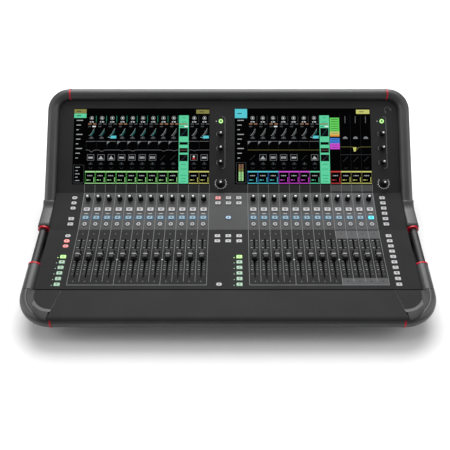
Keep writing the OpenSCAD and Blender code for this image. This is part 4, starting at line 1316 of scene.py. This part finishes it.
# Painted shade: the black beads make the gaps read as dark shadow lines
bead("frame_seal", half + [Vector((-p.x, p.y, p.z)) for p in half[::-1]], SHADE_BEAD_R,
     TOP_BEND_R - TUBE_R - HALF_GAP, soft_black)
for side, name in ((-1, "left"), (1, "right")):
    bead("frame_seal_front_" + name,
         [RAIL @ Vector((side * shade_bead_x, t, 0)) for t in (joint_t - 2, ring_front_t)], SHADE_BEAD_R, 0.0, soft_black)
print("Three seals are laid")

# %% [markdown]
# ## Covers of the knee and of the front corner
#
# The bent tube itself can't be seen everywhere. At the knee, above the hand grip, a casting with a
# flat top hides the bend, and at the front corner the casting's web runs up onto the tube in one
# smooth sweep. Both are lofts: the same cross-section, drawn at stations along the tube's axis. At
# the corner the section is a Bezier curve that starts level with the web and ends flat on the tube.

# %% A loft through rows of points
def loft(shape, rows):
    """Joins closed rows of points, in millimetres, and closes both ends."""
    rings = [[shape.verts.new(p) for p in row] for row in rows]
    for a, b in zip(rings, rings[1:]):
        bridge(shape, a, b, smooth=True)
    shape.faces.new(rings[0][::-1])
    shape.faces.new(rings[-1])


def mirrored(shape):
    """Adds the copy for the other side of the console."""
    both = bmesh.ops.duplicate(shape, geom=shape.verts[:] + shape.edges[:] + shape.faces[:])["geom"]
    for vert in (item for item in both if isinstance(item, bmesh.types.BMVert)):
        vert.co.x = -vert.co.x
    bmesh.ops.recalc_face_normals(shape, faces=shape.faces)


KNEE_R = 45.0
COVER_TOP = 14.25
COVER_UP = 21.0
knee_cut = KNEE_R * math.tan((SCREEN_SLOPE - FADER_SLOPE) / 2)


def cover_outline(shrink):
    w, top, corner = TUBE_R - 0.05 - shrink, COVER_TOP - shrink, 5.5
    right = [(w, -6.0), (w, top - corner)]
    right += [(w - corner + corner * math.cos(math.radians(a)),
               top - corner + corner * math.sin(math.radians(a))) for a in (15, 30, 45, 60, 75, 90)]
    return right + [(-u, v) for u, v in right[::-1]]


stations = []
for t in (ring_rear_t + RING_T / 2 + 0.1, ring_rear_t + 12, knee_t - knee_cut):
    stations.append((rail_y + t * rail_way.x, rail_z + t * rail_way.y, FADER_SLOPE))
turn_y = stations[-1][0] - KNEE_R * rail_way.y
turn_z = stations[-1][1] + KNEE_R * rail_way.x
for i in range(1, 9):
    a = FADER_SLOPE + (SCREEN_SLOPE - FADER_SLOPE) * i / 8
    stations.append((turn_y + KNEE_R * math.sin(a), turn_z - KNEE_R * math.cos(a), a))
for w in (knee_w + COVER_UP - 1.5, knee_w + COVER_UP):
    stations.append((junction_y + w * screen_way.x, junction_z + w * screen_way.y, SCREEN_SLOPE))
rows = []
for i, (y, z, a) in enumerate(stations):
    shrink = 1.2 if i == len(stations) - 1 else 0.0
    rows.append([(SIDE_X + u, y - v * math.sin(a), z + v * math.cos(a)) for u, v in cover_outline(shrink)])
knee = bmesh.new()
loft(knee, rows)
mirrored(knee)
piece("knee_covers", knee, Matrix(), (tube_paint,), slot="frame_tube")

LIP_R = TUBE_R + 1.2 + SHEET
WEB_IN = 19.0
SWEEP_END, SWEEP_STEPS = 85.7, 20
lip_reach = palm_edge - Vector((rail_y, rail_z))
lip_start = math.atan2(lip_reach.y, lip_reach.x) + math.acos(LIP_R / lip_reach.length)
palm_front = Vector((rail_y, rail_z)) + LIP_R * heading(lip_start)


def web_height(y):
    """Height of the palm rest's surface over the plane of the tube's axis."""
    share = (palm_edge.x - y) / (palm_edge.x - palm_front.x)
    z = palm_edge.y + (palm_front.y - palm_edge.y) * min(1.0, max(0.0, share))
    return (z - rail_z - (y - rail_y) * math.tan(FADER_SLOPE)) * math.cos(FADER_SLOPE)


def bezier(points, t):
    a, b, c, d = (Vector(p) for p in points)
    return a * (1 - t) ** 3 + 3 * b * t * (1 - t) ** 2 + 3 * c * t * t * (1 - t) + d * t ** 3


corner_stops = [(SIDE_X, t, 0.0) for t in (joint_t - 0.5, joint_t - 4, FRONT_BEND_R)]
corner_stops += [(SIDE_X - FRONT_BEND_R + FRONT_BEND_R * math.cos(a),
                  FRONT_BEND_R - FRONT_BEND_R * math.sin(a), a)
                 for a in (math.radians(SWEEP_END) * i / SWEEP_STEPS for i in range(1, SWEEP_STEPS + 1))]
rows = []
for x, t, a in corner_stops:
    inward = Vector((-math.cos(a), math.sin(a)))
    inner = RAIL @ Vector((x + WEB_IN * inward.x, t + WEB_IN * inward.y, 0))
    rise = web_height(inner.y) + 0.2
    share = min(1.0, max(0.0, (math.degrees(a) - 45) / 38))
    share = share * share * (3 - 2 * share)
    radius = TUBE_R + 0.25 + (LIP_R - TUBE_R) * share
    ends = math.radians(80 + 45 * share)
    last = radius * heading(ends)
    before = last + 7 * Vector((math.sin(ends), -math.cos(ends)))
    curve_points = [bezier(((WEB_IN, rise), (WEB_IN - 6, rise), before, last), i / 12) for i in range(13)]
    curve_points += [(radius - 4) * heading(ends), Vector((WEB_IN - 2, rise - 4))]
    rows.append([RAIL @ Vector((x + p.x * inward.x, t + p.x * inward.y, p.y)) for p in curve_points])
sweep = bmesh.new()
loft(sweep, rows)
mirrored(sweep)
piece("corner_covers", sweep, Matrix(), (casting_paint,), slot="frame_tube")

# Inside the sweep the web is painted like the palm rest, up to the slanting seam between them
SEAM_REAR = BODY_HALF - 62
SEAM_FRONT = SEAM_REAR + 17
FRONT_Y = -313.5
SKIN_REAR = palm_edge.x - 1.4
skin_edge = []
for x, t, a in corner_stops:
    inner = RAIL @ Vector((x - (WEB_IN - 1) * math.cos(a), t + (WEB_IN - 1) * math.sin(a), 0))
    skin_edge.append((inner.x, inner.y))


def seam_x(y):
    return SEAM_FRONT + (SEAM_REAR - SEAM_FRONT) * (y - FRONT_Y) / (palm_edge.x + 2 - FRONT_Y) + 0.6


skin_edge = [p for p in skin_edge if p[0] > seam_x(p[1]) + 0.5 and p[1] < palm_edge.x - 1.3]
skin_edge.insert(0, (skin_edge[0][0], SKIN_REAR))
skin_edge += [(seam_x(skin_edge[-1][1]), skin_edge[-1][1]), (seam_x(SKIN_REAR), SKIN_REAR)]
skins = bmesh.new()
palm_fall = (palm_front.y - palm_edge.y) / (palm_edge.x - palm_front.x)
skins.faces.new([skins.verts.new((x, y, palm_edge.y + (palm_edge.x - y) * palm_fall + 0.12))
                 for x, y in skin_edge[::-1]])
mirrored(skins)
for face in skins.faces:
    if face.normal.z < 0:
        face.normal_flip()
piece("web_paint", skins, Matrix(), (palm_paint,), slot="frame_tube")
print("Covered two knees and two corners")

# %% [markdown]
# Behind each hand grip the side of the case is set back, to make room for fingers. A black well
# closes that pocket at the bottom, a little above the edge of the case floor. It is painted shade: a
# dark tray that stands for the shadow deep in the pocket, so that the gap shows dark and not the
# table. It is a shallow tray with a rolled outer edge, and at the back it turns up to the knee and
# ends the pocket.

# %% Wells under the hand grips
WELL_Z = 27.0
well_rear = rail_y + (ring_rear_t - 3) * rail_way.x
well_front = rail_y + (ring_front_t + 3) * rail_way.x
well = bmesh.new()
profile = [(BODY_HALF - 29.5, WELL_Z + 12), (BODY_HALF - 27, WELL_Z + 2), (BODY_HALF - 10, WELL_Z),
           (SIDE_X + 4, WELL_Z), (SIDE_X + 10, WELL_Z + 1.5), (SIDE_X + 12.5, WELL_Z + 5),
           (SIDE_X + 11, WELL_Z + 5.2), (SIDE_X + 9, WELL_Z - 0.2), (SIDE_X + 4, WELL_Z - 2),
           (BODY_HALF - 10, WELL_Z - 2), (BODY_HALF - 29.5, WELL_Z)]
well_stops = [(well_front, 3.6), (well_front + 3, 1.2), (well_front + 9, 0), (well_rear - 12, 0),
              (well_rear - 4, 3), (well_rear, 10), (well_rear + 2, 38)]
loft(well, [[(x, y, z + lift) for x, z in profile] for y, lift in well_stops])
mirrored(well)
# Painted shade: the black wells stand for the shadow deep in the grip pockets
piece("grip_wells", well, Matrix(), (moulded_black,))
print("Two wells,", round(well_rear - well_front), "mm long")

# %% [markdown]
# ## The back
#
# Cables plug into the back: twelve microphone inputs over twelve outputs, two network sockets, the
# mains inlet and its switch. The frame holds the bodies of the sockets. What makes them sockets is
# the metal in them, so each kind gets one drawing, and the tree repeats it at every place. The back
# is drawn as someone standing behind the console sees it, with X to the right.

# %% Microphone sockets
SOCKET_PITCH, SOCKET_COUNT = 33.0, 12
SOCKET_X = -360.0
INPUT_ROW, OUTPUT_ROW = 140.0, 96.0
FLANGE_TOP = 2.0
PIN_CIRCLE = 4.6
socket_xs = [SOCKET_X + i * SOCKET_PITCH for i in range(SOCKET_COUNT)]
input_places, output_places = ([(x, row, 0) for x in socket_xs] for row in (INPUT_ROW, OUTPUT_ROW))
pin_places = [(PIN_CIRCLE * math.cos(math.radians(angle)), PIN_CIRCLE * math.sin(math.radians(angle)))
              for angle in (90, 210, 330)]

face = bmesh.new()
turned(face, [(radius, FLANGE_TOP + rise)
              for radius, rise in ((0, 0.05), (8.1, 0.05), (8.4, -0.1), (8.4, -0.8))])
# Each pin hole is a metal ring round a flat black disc: the disc is painted shade in the hole
for x, y in pin_places:
    flat(face, disc(1.9, x, y, 16), FLANGE_TOP + 0.1, 1)
    flat(face, disc(1.3, x, y, 16), FLANGE_TOP + 0.13, 2)
prism(face, rectangle(6.5, 4.0, 0, 11.2, corner=0.8), FLANGE_TOP, FLANGE_TOP + 1.4, 1, 0.85)
at_points("input_contacts", face, input_places, BACK, (moulded_black, zinc_plate, felt_and_hole_shade))

pins = bmesh.new()
flat(pins, disc(9.2, 0, 0, 32), -11.9)
for x, y in pin_places:
    turned(pins, [(1.2, -12), (1.2, -2.4), (0.9, -1.6), (0, -1.2)], 14, 1, Matrix.Translation((x, y, 0)))
at_points("output_pins", pins, output_places, BACK, (moulded_black, contact_metal))

head = bmesh.new()
turned(head, [(2.3, 0), (2.3, 0.4), (1.7, 0.9), (0, 1.0)], 16)
# The cross recess is a flat black cross on the head: painted shade
for w, h in ((2.6, 0.6), (0.6, 2.6)):
    flat(head, rectangle(w, h), 1.04, 1)
flange_screws = [(x + s * 9.6, y + s * 12.2, FLANGE_TOP)
                 for x, y, _ in input_places + output_places for s in (-1, 1)]
at_points("socket_screws", head, flange_screws, BACK, (zinc_plate, felt_and_hole_shade))
print(len(flange_screws), "screws hold", 2 * SOCKET_COUNT, "sockets")

# %% Network sockets, mains inlet and switch
NETWORK_X, NETWORK_ROW = (50.0, 80.0), 52.0
INLET_X, SWITCH_X, MAINS_ROW = -345.0, -312.0, 46.0
contacts = bmesh.new()
for i in range(8):
    prism(contacts, rectangle(0.55, 7.5, (i - 3.5) * 1.15, 0.5), -9.5, -9.0, 0)
for side, index in ((-1, 1), (1, 2)):
    flat(contacts, rectangle(2.6, 1.6, side * 5.4, 5.8), 1.55, index)
at_points("network_contacts", contacts, [(x, NETWORK_ROW, 0) for x in NETWORK_X], BACK,
          (contact_metal, green_key, cap_line))

blades = bmesh.new()
for x, y in ((-7, -2), (7, -2), (0, 3.5)):
    prism(blades, rectangle(2.0, 4.4, x, y), -14, -1.5, 0, 0.92)
piece("inlet_blades", blades, BACK @ Matrix.Translation((INLET_X, MAINS_ROW, 0)), (zinc_plate,))

# The rocker carries a plain bar and a ring, for on and off
signs = bmesh.new()
lean = Matrix.Translation((SWITCH_X, MAINS_ROW, -3)) @ Matrix.Rotation(math.radians(-6), 4, "X")
for angle, y in ((9.5, 5.0), (-9.5, -5.0)):
    place = lean @ Matrix.Translation((0, y, 3.86)) @ Matrix.Rotation(math.radians(angle), 4, "X")
    if y > 0:
        flat(signs, rectangle(0.9, 4.0), 0.1, 0, place)
    else:
        ring, inner = (arc_points(0, 0, radius, 0, 360, 20) for radius in (1.7, 1.1))
        for i in range(20):
            flat(signs, [ring[i], ring[i + 1], inner[i + 1], inner[i]], 0.1, 0, place)
piece("switch_signs", signs, BACK, (white_ink,), "mains_switch")
print("Fitted the network sockets, the inlet and the switch signs")

# %% [markdown]
# The rear panel is printed like the top: a fine frame round each group, a short bar in place of
# each socket's name, and a line between the rows. Its screws get their cross recesses as flat black
# crosses on the heads: painted shade, standing for the dark of the recesses.

# %% Print and screws of the rear panel
rear_print = bmesh.new()


def frame_line(x0, y0, x1, y1):
    corners = [(x0, y0), (x1, y0), (x1, y1), (x0, y1), (x0, y0)]
    for a, b in zip(corners, corners[1:]):
        stroke(rear_print, [a, b], 0.7, LINE_Z)


for row in (INPUT_ROW, OUTPUT_ROW):
    frame_line(SOCKET_X - 18, row - 18.5, socket_xs[-1] + 18, row + 23.5)
    for x in socket_xs:
        flat(rear_print, rectangle(7, 1.6, x, row + 19.6), LINE_Z)
frame_line(NETWORK_X[0] - 15, NETWORK_ROW - 15, NETWORK_X[1] + 15, NETWORK_ROW + 19)
for x in NETWORK_X:
    flat(rear_print, rectangle(8, 1.6, x, NETWORK_ROW + 13), LINE_Z)
frame_line(INLET_X - 20, MAINS_ROW - 17, SWITCH_X + 14, MAINS_ROW + 17)
piece("rear_print", rear_print, BACK, (grey_ink,))

# The cross recesses are flat black crosses on the screw heads: painted shade
crosses = bmesh.new()
for w, h in ((3.6, 0.8), (0.8, 3.6)):
    flat(crosses, rectangle(w, h), 0.0)
SCREW_TOP = 1.84
rear_face_l = math.hypot(BACK_RUN, back_rise)
screw_places = [(s * (60 + 90 * i), y, SCREW_TOP)
                for s in (-1, 1) for i in range(5) for y in (14, rear_face_l - 10)]
at_points("rear_screw_crosses", crosses, screw_places, BACK, (felt_and_hole_shade,))
print(len(screw_places), "rear screws")

# %% [markdown]
# ## Floor, light and camera
#
# The console stands on a plain pale floor. A big soft light above the back gives the tubes their
# long highlights, a second one straight above draws the soft shadow round the console, three weak
# ones fill the front and the sides, and the world adds an even pale sky. The camera stands where a
# person in front of the desk would, and looks down at it.

# %% Studio
def area_light(name, place, target, size, power):
    lamp = bpy.data.lights.new(name, "AREA")
    lamp.shape = "RECTANGLE"
    lamp.size, lamp.size_y = size
    lamp.energy = power
    thing = new_object(name, lamp)
    thing.location = place
    thing.rotation_euler = (Vector(target) - Vector(place)).to_track_quat("-Z", "Y").to_euler()


sheet = bmesh.new()
flat(sheet, rectangle(30, 30), height=0.0)
floor = new_object("floor", mesh_of("floor", sheet))
floor.data.materials.append(finish("studio_floor", (0.9, 0.9, 0.9), 0.9, grain=80, bump=0.0, mottle=0.01))
floor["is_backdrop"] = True

area_light("light_above_back", (0, 1.75, 2.25), (0, 0.1, 0.1), (3.0, 1.6), 112)
area_light("light_above", (0, 0.5, 2.9), (0, 0, 0.1), (3.0, 1.6), 26)
area_light("light_front", (0, -2.0, 1.5), (0, -0.2, 0.1), (2.4, 0.8), 3)
area_light("light_left", (-2.2, -0.2, 1.1), (0, 0, 0.1), (1.2, 1.8), 17)
area_light("light_right", (2.2, -0.2, 1.1), (0, 0, 0.1), (1.2, 1.8), 17)
world = bpy.data.worlds.new("studio")
world.use_nodes = True
sky = world.node_tree.nodes["Background"]
sky.inputs["Color"].default_value = (1, 1, 1, 1)
sky.inputs["Strength"].default_value = 0.16
bpy.context.scene.world = world
bpy.context.scene.view_settings.view_transform = "Standard"

lens = bpy.data.cameras.new("camera")
lens.lens = 45.2
lens.shift_x = -0.0171
lens.clip_start = 0.05
camera = new_object("camera", lens)
camera.location = (0.0105, -0.9921, 1.0616)
camera.rotation_euler = (math.radians(44), 0, 0)
bpy.context.scene.camera = camera
print("Camera, five lights and a floor")

# %% The size of the finished model
low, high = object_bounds()
print("Finished model", [round(x / MM, 1) for x in high - low], "mm")
